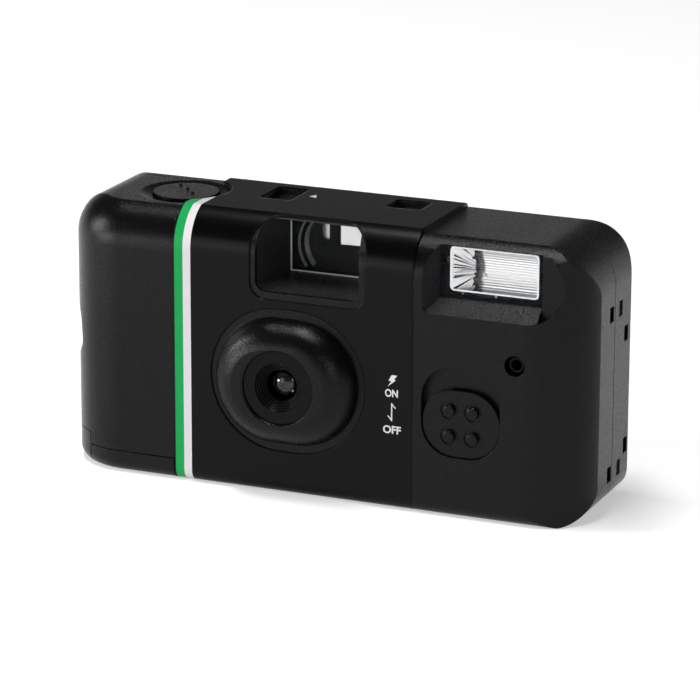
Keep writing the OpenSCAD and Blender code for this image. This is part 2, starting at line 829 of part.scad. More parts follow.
module lens_holder() {
  plate = [lens_x - 9, lens_x + 8.6, lens_z - 9, blade_z + 2.4];
  color([0.1, 0.1, 0.1]) difference() {
    union() {
      span(plate[0], plate[1], holder_y0, holder_y1, plate[2], plate[3]);
      rod_y(lens_x, lens_z, hood_y1, holder_y0 + 0.1, barrel_r);
      span(plate[1] - 1.3, plate[1], holder_y0, front_plate_y0, plate[2], lens_z + 5);
      span(plate[0], plate[1], holder_y0, front_plate_y0, plate[2], plate[2] + 1.2);
    }
    rod_y(lens_x, lens_z, hood_y1 - eps, lens_edge_y + 0.4, lens_seat_r);
    rod_y(lens_x, lens_z, hood_y1, holder_y1 + eps, lens_seat_r - 1.2);
    rod_y(blade_x, blade_z, holder_y0 - eps, holder_y1 + eps, 0.86);
  }
}

// Thin blade that covers the aperture, with a tab up to the drive lever
module shutter_blade() {
  color([0.2, 0.2, 0.21]) difference() {
    along_y(blade_y, blade_y + blade_t) translate([blade_x, blade_z]) {
      circle(1.7);
      bar_outline([0, 0], [lens_x - blade_x, lens_z - blade_z], 1.1);
      translate([lens_x - blade_x, lens_z - blade_z]) circle(blade_end_r);
      bar_outline([0, 0], [-2.1, lever_z0 - blade_z - 2.2], 0.9);
      translate([-2.45, lever_z0 - blade_z - 2.7]) square([0.7, lever_z1 - lever_z0 + 2.6]);
    }
    rod_y(blade_x, blade_z, blade_y - eps, blade_y + blade_t + eps, 0.8 + shaft_gap);
  }
}

module blade_spring() {
  color([0.7, 0.7, 0.72]) translate([blade_x, front_plate_y0 - 0.12, blade_z]) rotate([90, 0, 0])
    translate([0, 0, 0.06]) coil(1.2, 0.1, 0.24, 1.6);
}

module chassis() {
  wall_r = cartridge_r + 0.3;
  color([0.12, 0.12, 0.125]) difference() {
    union() {
      span(cart_x + 12.9, x1 - 7, front_plate_y0 + 0.6, gate_y1 - 0.6, wall, floor_z);
      chamber_wall(wall_r);
      span(gate_x0 - 1.9, gate_x1 + 3.5, gate_y0, gate_y1, wall, deck_z0 + 0.6);
      span(cart_x + 13, gate_x0 - 1.5, cart_y, gate_y1 - 0.9, wall, deck_z1);
      funnel(front_plate_y0, grown(dark_box_front(), skin), gate_y1, grown(dark_box_back(), skin));
      span(lens_x - 11.7, lens_x + 10.8, front_plate_y0, front_plate_y1, lens_z - 10.6, pocket_z - 1.5);
      span(lens_x - 11.7, lens_x - 8.9, front_plate_y0, front_plate_y1, pocket_z - 2, deck_z1);
      span(cart_x + 13, sprocket_x + 1.3, front_plate_y0, gate_y0 + 0.1, deck_z0, deck_z1);
      finder_bed();
      roll_chamber();
      span(board_x1 - 1.3, board_x1 - 0.3, board_y1 + 0.4, gate_y1, wall, deck_z1);
      span(finder_x + 11.2, board_x1, board_y1 + 1, gate_y1, deck_z0, deck_z1);
      roof();
      latch_ears();
      post(lever_x, lever_y, deck_z0, plate_z0, pivot_r);
      post(cart_x + 14.8, gate_y0 - 3.4, deck_z0, plate_z0, 1.2);
      post(cart_x + 14.8, front_plate_y0 + 1.2, deck_z0, plate_z0, 1.2);
      rod_y(blade_x, blade_z, holder_y0 + 0.3, front_plate_y1, 0.8);
    }
    funnel(front_plate_y0 - eps, dark_box_front(), gate_y1 + 0.01, dark_box_back());
    post(sprocket_x, sprocket_y, sprocket_z0 - 0.4, sprocket_z1 + 0.4, sprocket_r + 0.5);
    post(sprocket_x, sprocket_y, deck_z0 - eps, deck_z1 + eps, shaft_r + shaft_gap);
    post(roll_x, roll_y, floor_z, deck_z0, chamber_r);
    for (z = [wall - eps, deck_z0 - eps])
      post(roll_x, roll_y, z, z + 3, 1.5 + shaft_gap);
  }
}

function dark_box_front() = [lens_x - 3.4, lens_x + 3.4, lens_z - 3.4, lens_z + 3.4];
function dark_box_back() = [gate_x0, gate_x1, gate_z0, gate_z1];

// Wall between the cartridge and the dark box
module chamber_wall(r) {
  intersection() {
    difference() {
      post(cart_x, cart_y, wall, deck_z1, r + skin);
      post(cart_x, cart_y, wall - eps, deck_z1 + eps, r);
    }
    span(cart_x + 8.5, cart_x + r + 2, yf, gate_y1 - 1.4, wall, deck_z1);
  }
}

// Plate over the cartridge that the thumb wheel turns in
module roof() {
  difference() {
    intersection() {
      post(cart_x, cart_y, roof_z0, roof_z1, cartridge_r + 0.2);
      span(in_x0, cart_x + 20, yf, grip_seam_y - 1.2, roof_z0, roof_z1);
    }
    post(cart_x, cart_y, roof_z0 - eps, roof_z1 + eps, hub_r + 1.4);
  }
  difference() {
    span(cart_x + 11, cart_x + 13.9, cart_y - 2, cart_y + 6, deck_z0, roof_z1);
    post(cart_x, cart_y, deck_z0 - eps, roof_z0, cartridge_r + 0.3);
  }
}

module finder_bed() {
  half = finder_w / 2 + finder_frame_t + 1;
  bed_y = finder_y + 0.2;
  span(finder_x - half - 1.9, finder_x + half + 1.9, bed_y, bed_y + 4.6, pocket_z - 0.9, pocket_z + 0.2);
  for (s = [-1, 1])
    span(finder_x + s * (half + 1.35) - 0.55, finder_x + s * (half + 1.35) + 0.55, bed_y, bed_y + 4.6,
      pocket_z - 0.9, deck_z1);
}

// Room for the roll of unexposed film, open at the back
module roll_chamber() {
  intersection() {
    post(roll_x, roll_y, wall, deck_z1, chamber_r + skin);
    span(roll_x - 14, roll_x + 14, yf, roll_y + 4, wall, deck_z1);
  }
}

module latch_ears() {
  for (y = [latch_y0 - 1.1, latch_y1 + 1.6])
    difference() {
      span(latch_x - 1.3, latch_x + 1.3, y, y + skin, deck_z0, latch_z + 1.2);
      rod_y(latch_x, latch_z, y - eps, y + skin + eps, latch_r);
    }
}

module top_plate() {
  right = finder_front[0] - 1.6;
  color([0.16, 0.16, 0.165]) difference() {
    union() {
      along_z(plate_z0, plate_z1) {
        translate([cart_x, cart_y]) circle(8);
        even_outline(cart_x, right, front_plate_y0, gate_y0 - 1.4, 1.5);
        translate([sprocket_x, sprocket_y]) circle(2.8);
      }
      post(counter_x, counter_y, plate_z1 - 0.1, counter_z1 - 0.1, 1.2);
    }
    post(cart_x, cart_y, plate_z0 - eps, plate_z1 + eps, 1.5 + shaft_gap);
    post(press_x, press_y, plate_z0 - eps, plate_z1 + eps, press_r + slide_gap);
    post(sprocket_x, sprocket_y, plate_z0 - eps, plate_z1 + eps, shaft_r + shaft_gap);
  }
}

// Lever that knocks the blade open, with a tail that the sprocket's cam sets
module drive_lever() {
  color([0.85, 0.85, 0.83]) difference() {
    along_z(lever_z0, lever_z1) translate([lever_x, lever_y]) {
      circle(2);
      link_outline([0, 0], lever_tip, 0.7);
      link_outline([0, 0], lever_tail, 0.6);
    }
    post(lever_x, lever_y, lever_z0 - eps, lever_z1 + eps, pivot_r + shaft_gap);
  }
}

module drive_spring() {
  color([0.7, 0.7, 0.72]) translate([lever_x, lever_y, lever_z1 + 0.4]) coil(1.65, 0.2, 0.6, 3.5);
}

// Rocker under the button's pin, with a hook over the drive lever
module latch_lever() {
  left = press_x - 0.9;
  right = lever_x + 0.2;
  color([0.8, 0.8, 0.78]) difference() {
    union() {
      span(left, right, latch_y0, latch_y1, latch_z - 0.6, latch_z + 0.6);
      rod_y(latch_x, latch_z, latch_y0, latch_y1, 1.3);
      span(right - 1.1, right, latch_y0, latch_y1, lever_z1 - 0.12, latch_z);
    }
    rod_y(latch_x, latch_z, latch_y0 - eps, latch_y1 + eps, latch_r + shaft_gap);
  }
}

module latch_pin() {
  color([0.75, 0.75, 0.77]) rod_y(latch_x, latch_z, latch_y0 - 1.1, latch_y1 + 2.4, latch_r);
}

module latch_spring() {
  color([0.7, 0.7, 0.72]) translate([latch_x, latch_y1 + 1.4, latch_z]) rotate([90, 0, 0])
    coil(1.05, 0.15, 0.4, 2.8);
}

// Eight teeth for the film, a cam for the drive lever and a finger for the counter
module sprocket_wheel() {
  teeth = 8;
  color([0.82, 0.82, 0.8]) {
    post(sprocket_x, sprocket_y, sprocket_z0, sprocket_z1, sprocket_r - 1.1);
    for (i = [0:teeth - 1])
      translate([sprocket_x, sprocket_y, 0]) rotate([0, 0, 360 * i / teeth])
        along_z(sprocket_z0 + 0.4, sprocket_z1 - 0.4)
          polygon([[sprocket_r - 2, -0.9], [sprocket_r, -0.5], [sprocket_r, 0.5], [sprocket_r - 2, 0.9]]);
    post(sprocket_x, sprocket_y, sprocket_z0 - 0.6, counter_z0 - 0.2, shaft_r);
    along_z(lever_z0, lever_z1) translate([sprocket_x, sprocket_y]) {
      circle(2.3);
      link_outline([0, 0], [2, 0], 1);
    }
    along_z(plate_z1 + 0.4, counter_z0 - 0.3) translate([sprocket_x, sprocket_y])
      polygon([[0, -0.5], [2.1, -0.25], [2.1, 0.25], [0, 0.5]]);
  }
}

module counter_disc() {
  teeth = 30;
  color([0.92, 0.92, 0.9]) translate([counter_x, counter_y, 0]) difference() {
    union() {
      along_z(counter_z0, counter_z1) circle(counter_r);
      along_z(plate_z1 + slide_gap, counter_z0 + 0.1) polygon([
        for (i = [0:2 * teeth - 1]) let (r = counter_gear_r - (i % 2) * 0.6)
          [r * cos(180 * i / teeth), r * sin(180 * i / teeth)]
      ]);
    }
    post(0, 0, plate_z1, counter_z1 + eps, 1.2 + shaft_gap);
  }
}

// Clear piece in a top opening, with a flange under the cover
module top_window(w, z_low) {
  g = seat_gap;
  z_mid = in_top;
  intersection() {
    along_y(w[2], w[3]) polygon([
      [w[0] + bevel - 0.35 + g, end_top], [w[1] - bevel + 0.35 - g, end_top], [w[1] - bevel - g, z_mid],
      [w[1] - bevel - g, z_low], [w[0] + bevel + g, z_low], [w[0] + bevel + g, z_mid]
    ]);
    along_x(w[0], w[1]) polygon([
      [w[2] + bevel - 0.35 + g, end_top], [w[3] - bevel + 0.35 - g, end_top], [w[3] - bevel - g, z_mid],
      [w[3] - bevel - g, z_low], [w[2] + bevel + g, z_low], [w[2] + bevel + g, z_mid]
    ]);
    rod_y((w[0] + w[1]) / 2, end_top - 8.4, w[2], w[3], 8);
  }
  span(w[0] + 0.3, w[1] - 0.3, w[2] + 0.3, w[3] - 0.3, z_low, in_top);
}

module counter_window() {
  color([0.85, 0.9, 0.92]) top_window(counter_win, in_top - 0.35);
}

module lamp_window() {
  color([0.85, 0.9, 0.92]) {
    top_window(lamp_win, in_top - 0.6);
    post((lamp_win[0] + lamp_win[1]) / 2, (lamp_win[2] + lamp_win[3]) / 2, in_top - 3, in_top - 0.5, 1.8);
  }
}

module ready_lamp() {
  x = (lamp_win[0] + lamp_win[1]) / 2;
  y = (lamp_win[2] + lamp_win[3]) / 2;
  color([0.9, 0.5, 0.3]) {
    post(x, y, deck_z1 + 2, in_top - 3.2, 1.7);
    for (s = [-1, 1])
      post(x + s * 0.8, y, deck_z1, deck_z1 + 2.1, 0.25);
  }
}

// Grooved wheel, with a boss in the roof and a fork in the cartridge's hub
module thumb_wheel() {
  color([0.06, 0.06, 0.065]) translate([cart_x, cart_y, 0]) {
    difference() {
      union() {
        along_z(wheel_z0, wheel_z1) polygon([
          for (i = [0:2 * wheel_teeth - 1]) let (r = wheel_r - (i % 2) * 0.5)
            [r * cos(180 * i / wheel_teeth), r * sin(180 * i / wheel_teeth)]
        ]);
        post(0, 0, roof_z0 + 0.1, wheel_z0 + 0.1, hub_r + 1.4 - shaft_gap);
        post(0, 0, wheel_z1 - 0.1, plate_z1 - 0.1, 1.5);
      }
      post(0, 0, roof_z0, wheel_z0 + 1, hub_r + slide_gap);
      difference() {
        post(0, 0, wheel_z1 - 0.9, wheel_z1 + eps, wheel_r - 2);
        post(0, 0, wheel_z1 - 1, wheel_z1 + 1, 3.5);
      }
    }
    for (s = [-1, 1])
      span(s * 1.9 - 0.7, s * 1.9 + 0.7, -1.4, 1.4, cart_z1 - 1.5, wheel_z0 + 1.1);
  }
}

module cartridge_spool() {
  z_top = wheel_z0 + 0.7;
  color([0.14, 0.14, 0.14]) translate([cart_x, cart_y, 0]) {
    difference() {
      union() {
        post(0, 0, cart_z0 + 0.4, z_top, hub_r);
        for (z = [film_z0 - 1.2, film_z1 + 0.4])
          post(0, 0, z, z + 0.8, 10.4);
      }
      post(0, 0, cart_z1 - 3, z_top + eps, 3.4);
      post(0, 0, cart_z0, cart_z0 + 5, 3.4);
    }
    span(-0.7, 0.7, -3.6, 3.6, cart_z1 - 3.1, cart_z1 - 0.4);
  }
}

module cartridge_shell() {
  lip_y0 = film_y - 0.7;
  lip_y1 = in_yb - 0.2;
  color([0.75, 0.72, 0.68]) difference() {
    union() {
      post(cart_x, cart_y, cart_z0 + 0.6, cart_z1 - 0.6, cartridge_r - 0.3);
      span(cart_x + 3.5, lip_x, lip_y0, lip_y1, film_z0 - 0.8, film_z1 + 0.8);
    }
    post(cart_x, cart_y, cart_z0, cart_z1, cartridge_r - 0.6);
    span(cart_x, lip_x + eps, film_y - 0.25, film_y + film_t + 0.25, film_z0 - 0.3, film_z1 + 0.3);
  }
}

module cartridge_caps() {
  color([0.68, 0.68, 0.7])
    for (s = [-1, 1]) {
      z_out = lens_z + s * cartridge_h / 2;
      z_rim = z_out - s * 2.2;
      difference() {
        post(cart_x, cart_y, min(z_out, z_rim), max(z_out, z_rim), cartridge_r);
        post(cart_x, cart_y, cart_z0 + 0.6, cart_z1 - 0.6, cartridge_r - 0.28);
        post(cart_x, cart_y, cart_z0 - eps, cart_z1 + eps, hub_r + slide_gap);
      }
    }
}

module light_trap_felt() {
  color([0.05, 0.05, 0.06])
    for (y = [film_y - 0.22, film_y + film_t + 0.04])
      span(cart_x + 8, lip_x - 0.2, y, y + 0.18, film_z0 - 0.2, film_z1 + 0.2);
}

module film_strip() {
  hole = [2, 2.8];
  count = floor((roll_x - lip_x - 2) / perforation_pitch);
  color([0.35, 0.2, 0.16]) difference() {
    span(cart_x + 9, roll_x, film_y, film_y + film_t, film_z0, film_z1);
    for (i = [0:count - 1], z = [film_z0 + 2, film_z1 - 2 - hole[1]])
      span(lip_x + 1 + i * perforation_pitch, lip_x + 1 + i * perforation_pitch + hole[0],
        film_y - eps, film_y + eps, z, z + hole[1]);
  }
}

module film_roll() {
  color([0.3, 0.17, 0.14]) difference() {
    post(roll_x, roll_y, film_z0, film_z1, roll_r);
    post(roll_x, roll_y, film_z0 - eps, film_z1 + eps, 4);
  }
}

module supply_spool() {
  color([0.15, 0.15, 0.15]) {
    post(roll_x, roll_y, film_z0 - 1.4, film_z1 + 0.6, 3.95);
    post(roll_x, roll_y, wall + 0.2, deck_z1 - 0.2, 1.5);
    post(roll_x, roll_y, film_z0 - 1.4, film_z0 - 0.2, roll_r - 0.5);
  }
}

// Front lens of the finder, hollow to the front
module finder_front_lens() {
  hollow_r = 40;
  b = grown(finder_back, 0.4);
  color([0.8, 0.86, 0.9]) difference() {
    span(b[0], b[1], finder_y, finder_y + finder_lens_t, b[2], b[3]);
    translate([finder_x, finder_y + 1.1 - hollow_r, finder_z]) sphere(hollow_r, $fn = 240);
  }
}

module finder_frame() {
  front = grown(finder_back, 0.4 + seat_gap / 2);
  back = [finder_x - eyepiece_w / 2, finder_x + eyepiece_w / 2, finder_z - eyepiece_h / 2, finder_z + eyepiece_h / 2];
  y_lens = finder_y + finder_lens_t;
  color([0.1, 0.1, 0.1]) difference() {
    union() {
      funnel(finder_y, grown(front, 0.45), y_lens + 0.6, grown(front, 0.45));
      funnel(y_lens + 0.5, grown(front, 0.4), eyepiece_y0, grown(back, finder_frame_t));
    }
    funnel(finder_y - eps, front, y_lens, front);
    funnel(y_lens - 0.1, grown(finder_back, -0.5), eyepiece_y0 + eps, grown(back, -0.2));
  }
}

module finder_eyepiece() {
  flange = [finder_x - eyepiece_w / 2 - 0.8, finder_x + eyepiece_w / 2 + 0.8,
    finder_z - eyepiece_h / 2 - 0.8, finder_z + eyepiece_h / 2 + 0.8];
  color([0.8, 0.86, 0.9]) {
    span(flange[0], flange[1], eyepiece_y0 + seat_gap, in_yb - seat_gap / 2, flange[2], flange[3]);
    intersection() {
      span(flange[0] + 0.8, flange[1] - 0.8, in_yb - 0.3, in_yb + 0.9, flange[2] + 0.8, flange[3] - 0.8);
      translate([finder_x, in_yb + 0.8 - 18, finder_z]) sphere(18, $fn = 160);
    }
  }
}

module flash_window() {
  color([0.85, 0.88, 0.92]) {
    span(flash_x0, flash_x1, flash_y0, flash_y1, flash_z0, flash_z1);
    span(flash_x0 - 0.7, flash_x1 + 0.7, flash_floor_y + 0.75, flash_y1, flash_z0 - 0.7, flash_z1 - 1.2);
  }
}

// Bright trough behind the window, closed at both ends
module flash_reflector() {
  xa = flash_x0 + 1.2;
  xb = flash_x1 - 1.2;
  front = flash_y1 + 0.1;
  color([0.9, 0.9, 0.92]) difference() {
    along_x(xa, xb) union() {
      translate([reflector_y, flash_mid_z]) circle(reflector_r);
      polygon([
        [front, flash_mid_z - reflector_r], [reflector_y, flash_mid_z - reflector_r],
        [reflector_y, flash_mid_z + reflector_r], [front, flash_mid_z + reflector_r]
      ]);
    }
    along_x(xa + reflector_t, xb - reflector_t) union() {
      translate([reflector_y, flash_mid_z]) circle(reflector_r - reflector_t);
      polygon([
        [front - 3, flash_mid_z - reflector_r + reflector_t], [reflector_y, flash_mid_z - reflector_r + reflector_t],
        [reflector_y, flash_mid_z + reflector_r - reflector_t], [front - 3, flash_mid_z + reflector_r - reflector_t]
      ]);
    }
    span(xa - eps, xb + eps, front - 9, front, flash_z0 - 2, flash_z1 + 2);
    rod_x(reflector_y + 0.9, flash_mid_z, xa - eps, xb + eps, tube_r + seat_gap);
  }
}

module flash_tube() {
  xa = flash_x0 - 0.6;
  xb = flash_x1 + 0.6;
  color([0.85, 0.88, 0.9]) {
    rod_x(reflector_y + 0.9, flash_mid_z, xa, xb, tube_r);
    rod_x(reflector_y + 0.9, flash_mid_z, xa - 1.2, xb + 1.2, 0.4);
  }
}

module circuit_board() {
  color([0.32, 0.24, 0.12]) difference() {
    union() {
      span(board_x0, board_x1, board_y0, board_y1, board_z0, board_z1);
      span(board_x1 - 0.1, board_wing_x1, board_y0, board_y1, board_wing_z0, board_z1);
    }
    rod_y(hole_x, hole_z, board_y0 - eps, board_y1 + eps, 1.05);
  }
}

// Small tube on the board, seen through the round hole in the front
module board_post() {
  color([0.15, 0.15, 0.15]) difference() {
    rod_y(hole_x, hole_z, in_yf - 0.1, board_y0, 1.45);
    rod_y(hole_x, hole_z, in_yf - 1, board_y0 + 1, 1.05);
  }
}

module main_capacitor() {
  color([0.12, 0.14, 0.3]) difference() {
    post(capacitor_x, capacitor_y, floor_z, floor_z + capacitor_h, capacitor_r);
    translate([capacitor_x, capacitor_y, floor_z + capacitor_h - 3]) difference() {
      cylinder(h = 0.8, r = capacitor_r + eps);
      translate([0, 0, -eps]) cylinder(h = 2, r = capacitor_r - 0.4);
    }
  }
}

module transformer() {
  x = hole_x + 2;
  z = board_wing_z0 + 1.2;
  color([0.2, 0.18, 0.16]) {
    span(x, x + 6.4, board_y1, board_y1 + 1.2, z, z + 6.4);
    rod_y(x + 3.2, z + 3.2, board_y1 + 1, board_y1 + 5.2, 2.6);
    span(x, x + 6.4, board_y1 + 5, board_y1 + 6.2, z, z + 6.4);
  }
}

module trigger_coil() {
  r = 1.3;
  x = hole_x - 1;
  z = board_z1 - r - 0.1;
  color([0.6, 0.35, 0.15]) {
    rod_x(board_y1 + r + 0.1, z, x, x + 6.5, r);
    span(x + 1, x + 5.5, board_y1, board_y1 + r, z - 0.8, z + 0.8);
  }
}

module sync_contact() {
  z = lens_z + 10;
  color([0.72, 0.55, 0.25])
    for (y = [board_y0 - 0.3, board_y1])
      span(board_x0 - 5, board_x0 + 2, y, y + 0.3, z, z + 2.4);
}

module battery() {
  color([0.25, 0.25, 0.28]) {
    post(cell_x, cell_y, cell_z0, cell_z0 + cell_h - 1, cell_r);
    post(cell_x, cell_y, cell_z0 + cell_h - 1.1, cell_z0 + cell_h, 1.8);
  }
}

module battery_contact_top() {
  z = cell_z0 + cell_h;
  color([0.75, 0.74, 0.7]) {
    span(cell_x - 3, cell_x + 2.6, cell_y - 3, cell_y + 3, z, z + 0.3);
    span(cell_x - 3, cell_x - 1, board_y1 + 7, cell_y - 2.9, z, z + 0.3);
  }
}

module battery_contact_bottom() {
  color([0.75, 0.74, 0.7]) {
    span(cell_x - 3, cell_x + 1.2, cell_y - 3, cell_y + 3, floor_z, floor_z + 0.3);
    post(cell_x - 0.6, cell_y, floor_z + 0.2, cell_z0, 2.2);
  }
}

front_cover();
rear_cover();
cartridge_lid();
label_wrap();
shutter_button();
flash_switch();
switch_contact();
lens_hood();
taking_lens();
aperture_ring();
lens_holder();
shutter_blade();
blade_spring();
chassis();
top_plate();
drive_lever();
drive_spring();
latch_lever();
latch_pin();
latch_spring();
sprocket_wheel();
counter_disc();
counter_window();
thumb_wheel();
cartridge_shell();
cartridge_caps();
cartridge_spool();
light_trap_felt();
film_strip();
film_roll();
supply_spool();
finder_front_lens();
finder_frame();
finder_eyepiece();
flash_window();
flash_reflector();
flash_tube();
circuit_board();
main_capacitor();
transformer();
trigger_coil();
board_post();
sync_contact();
battery();
battery_contact_top();
battery_contact_bottom();
ready_lamp();
lamp_window();
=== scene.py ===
# %% [markdown]
# # A single-use film camera, dressed in Blender
# The solids of the camera were modelled elsewhere and arrive here as a fixed frame, in metres.
# This lesson gives each of them a finish, adds the small things that are easier to make in Blender
# than in a solid modeller, and sets up the floor, the light and the viewpoint of a product photo.

# %% Load the frame
import math

import bmesh
import bpy
from mathutils import Matrix, Vector


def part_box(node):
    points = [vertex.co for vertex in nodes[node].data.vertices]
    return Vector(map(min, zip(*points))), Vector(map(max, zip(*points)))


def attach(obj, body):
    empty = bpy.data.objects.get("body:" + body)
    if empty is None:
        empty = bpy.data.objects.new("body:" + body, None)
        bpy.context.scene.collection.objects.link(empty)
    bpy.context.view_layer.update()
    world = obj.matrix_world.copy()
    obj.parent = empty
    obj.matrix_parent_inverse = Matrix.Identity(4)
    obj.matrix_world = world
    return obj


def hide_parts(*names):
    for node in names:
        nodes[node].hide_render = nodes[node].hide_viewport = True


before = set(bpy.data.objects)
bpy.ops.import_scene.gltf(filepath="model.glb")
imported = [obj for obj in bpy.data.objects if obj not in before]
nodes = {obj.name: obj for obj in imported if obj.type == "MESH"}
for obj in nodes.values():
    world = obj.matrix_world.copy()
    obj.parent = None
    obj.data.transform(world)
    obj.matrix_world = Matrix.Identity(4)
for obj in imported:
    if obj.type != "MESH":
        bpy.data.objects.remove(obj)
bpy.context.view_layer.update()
scene = bpy.context.scene
scene.view_settings.view_transform = "Standard"
MM = 0.001

# %% [markdown]
# ## The viewpoint
# A product photo is taken from far away with a long lens, so that upright edges stay nearly parallel.
# The place of the lens was worked out from the corners of the body: 23 degrees to the right,
# 16 degrees up, about 0.74 m away. The aim lies a little beside the middle, which puts the body where
# the photo has it. A lens shift would do so too, but it would follow the camera into every other view.

# %% Viewpoint
TURN, RISE, ROLL = math.radians(23.09), math.radians(16.438), math.radians(0.204)
DISTANCE, FOCAL, SENSOR = 0.7374, 198.7, 36
AIM_RIGHT, AIM_DOWN = 2.74 * MM, 0.45 * MM
look_from = Vector((math.sin(TURN) * math.cos(RISE), -math.cos(TURN) * math.cos(RISE), math.sin(RISE)))
look_right = Vector((math.cos(TURN), math.sin(TURN), 0))
look_up = look_right.cross(-look_from)
middle = Vector((0, -0.5 * MM, 27 * MM))
eye = middle + look_from * DISTANCE
aim = middle + look_right * AIM_RIGHT - look_up * AIM_DOWN

lens_data = bpy.data.cameras.new("viewpoint")
lens_data.lens = FOCAL
lens_data.sensor_width = SENSOR
lens_data.clip_start, lens_data.clip_end = 0.01, 20
viewpoint = bpy.data.objects.new("viewpoint", lens_data)
scene.collection.objects.link(viewpoint)
viewpoint.location = eye
viewpoint.rotation_mode = "QUATERNION"
facing = (aim - eye).to_track_quat("-Z", "Y")
viewpoint.rotation_quaternion = facing @ Matrix.Rotation(ROLL, 4, "Z").to_quaternion()
scene.camera = viewpoint
print("viewpoint at", [round(v, 3) for v in eye])

# %% [markdown]
# ## Background
# The photo has a white ground that keeps a soft shadow under the body. A pale floor alone would need
# so much light to turn white that the black plastic would wash out. So the background is white only
# for the rays that look at it: straight from the lens, off a gloss or through clear plastic. For the
# light on the object the world is dim. It also darkens above the horizon, because a black body under a
# white sky would look grey.

# %% World
def add_node(tree, kind, links=None, **values):
    """Adds a node. Values go to its properties or, by input name, to its sockets; links feed its inputs."""
    made = tree.nodes.new(kind)
    for key, value in values.items():
        if hasattr(made, key):
            setattr(made, key, value)
        else:
            made.inputs[key.replace("_", " ")].default_value = value
    for key, source in (links or {}).items():
        tree.links.new(source, made.inputs[key])
    return made


def seen_ray(tree):
    """1 for rays that look at the background: straight from the lens, off a gloss, or through clear plastic."""
    path = add_node(tree, "ShaderNodeLightPath").outputs
    either = add_node(tree, "ShaderNodeMath", {0: path["Is Camera Ray"], 1: path["Is Transmission Ray"]},
                      operation="MAXIMUM")
    return add_node(tree, "ShaderNodeMath", {0: either.outputs[0], 1: path["Is Glossy Ray"]},
                    operation="MAXIMUM").outputs[0]


WHITE = (1, 1, 1, 1)
WORLD_LIGHT = 0.10
HORIZON_AT, HORIZON_GLOW, SKY_AT, SKY_GLOW = 0.02, 1.0, 0.20, 0.08
world = bpy.data.worlds.new("studio")
scene.world = world
world.use_nodes = True
air = world.node_tree
air.nodes.clear()
air_out = air.nodes.new("ShaderNodeOutputWorld")
dim = add_node(air, "ShaderNodeBackground", Color=WHITE, Strength=WORLD_LIGHT)
height = add_node(air, "ShaderNodeSeparateXYZ", {0: add_node(air, "ShaderNodeTexCoord").outputs["Generated"]})
fall = add_node(air, "ShaderNodeMapRange", {"Value": height.outputs["Z"]}, interpolation_type="SMOOTHSTEP",
                From_Min=HORIZON_AT, From_Max=SKY_AT, To_Min=HORIZON_GLOW, To_Max=SKY_GLOW)
white = add_node(air, "ShaderNodeBackground", {"Strength": fall.outputs[0]}, Color=WHITE)
air_mix = add_node(air, "ShaderNodeMixShader", {0: seen_ray(air), 1: dim.outputs[0], 2: white.outputs[0]})
air.links.new(air_mix.outputs[0], air_out.inputs["Surface"])
print("world lights at", WORLD_LIGHT)

# %% [markdown]
# ## Floor
# The floor is a plain pale surface that takes light and shadow. A glow of its own, for the same rays
# as in the world, lifts it to white without adding light to the object.

# %% Floor
def new_material(name):
    made = bpy.data.materials.new(name)
    made.use_nodes = True
    tree = made.node_tree
    tree.nodes.clear()
    out = tree.nodes.new("ShaderNodeOutputMaterial")
    return made, tree, out


FLOOR_GREY, FLOOR_GLOW = 0.76, 0.45
FLOOR_REACH, FLOOR_DROP = 3.0, 0.02 * MM
floor_paint, tree, out = new_material("pale_floor")
paint = add_node(tree, "ShaderNodeBsdfDiffuse", Color=(FLOOR_GREY, FLOOR_GREY, FLOOR_GREY, 1))
lift = add_node(tree, "ShaderNodeMath", {0: seen_ray(tree)}, operation="MULTIPLY")
lift.inputs[1].default_value = FLOOR_GLOW
glow = add_node(tree, "ShaderNodeEmission", {"Strength": lift.outputs[0]}, Color=WHITE)
both = add_node(tree, "ShaderNodeAddShader", {0: paint.outputs[0], 1: glow.outputs[0]})
tree.links.new(both.outputs[0], out.inputs["Surface"])

shape = bmesh.new()
bmesh.ops.create_grid(shape, x_segments=2, y_segments=2, size=FLOOR_REACH)
floor_mesh = bpy.data.meshes.new("floor")
shape.to_mesh(floor_mesh)
shape.free()
floor = bpy.data.objects.new("floor", floor_mesh)
scene.collection.objects.link(floor)
floor_mesh.materials.append(floor_paint)
floor_mesh.transform(Matrix.Translation((0, 0, -FLOOR_DROP)))
print("floor", 2 * FLOOR_REACH, "m wide")

# %% [markdown]
# ## Light
# Black plastic shows hardly any colour of its own: what the eye reads as its form are the soft
# reflections of the lamps. Five softboxes do that here. A long one overhead lights the top and the
# rounded front edges. One on the left and a low one beside it draw the grip and the lens dome. A
# broad, weak one lifts the front, and a small one on the right does so for the side. Together they
# light the front at a plain level, so that the stripes render about as they are written.

# %% Lamps
LAMP_AIM = Vector((0, 0, 0.03))
LAMPS = (
    ("overhead", (-0.16, -0.16, 1.42), (0.70, 0.17), 13.0),
    ("left_low", (-0.76, -0.30, 0.30), (0.12, 0.26), 3.4),
    ("grip_low", (-0.64, -0.58, 0.065), (0.22, 0.11), 2.3),
    ("front_low", (-0.36, -0.82, 0.16), (0.36, 0.32), 0.7),
    ("right_side", (0.48, -0.60, 0.27), (0.10, 0.18), 0.7),
)
for name, place, size, power in LAMPS:
    data = bpy.data.lights.new(name, "AREA")
    data.shape = "RECTANGLE"
    data.size, data.size_y = size
    data.energy = power
    lamp = bpy.data.objects.new(name, data)
    scene.collection.objects.link(lamp)
    lamp.location = place
    lamp.rotation_mode = "QUATERNION"
    lamp.rotation_quaternion = (LAMP_AIM - Vector(place)).to_track_quat("-Z", "Y")
print(len(LAMPS), "softboxes")

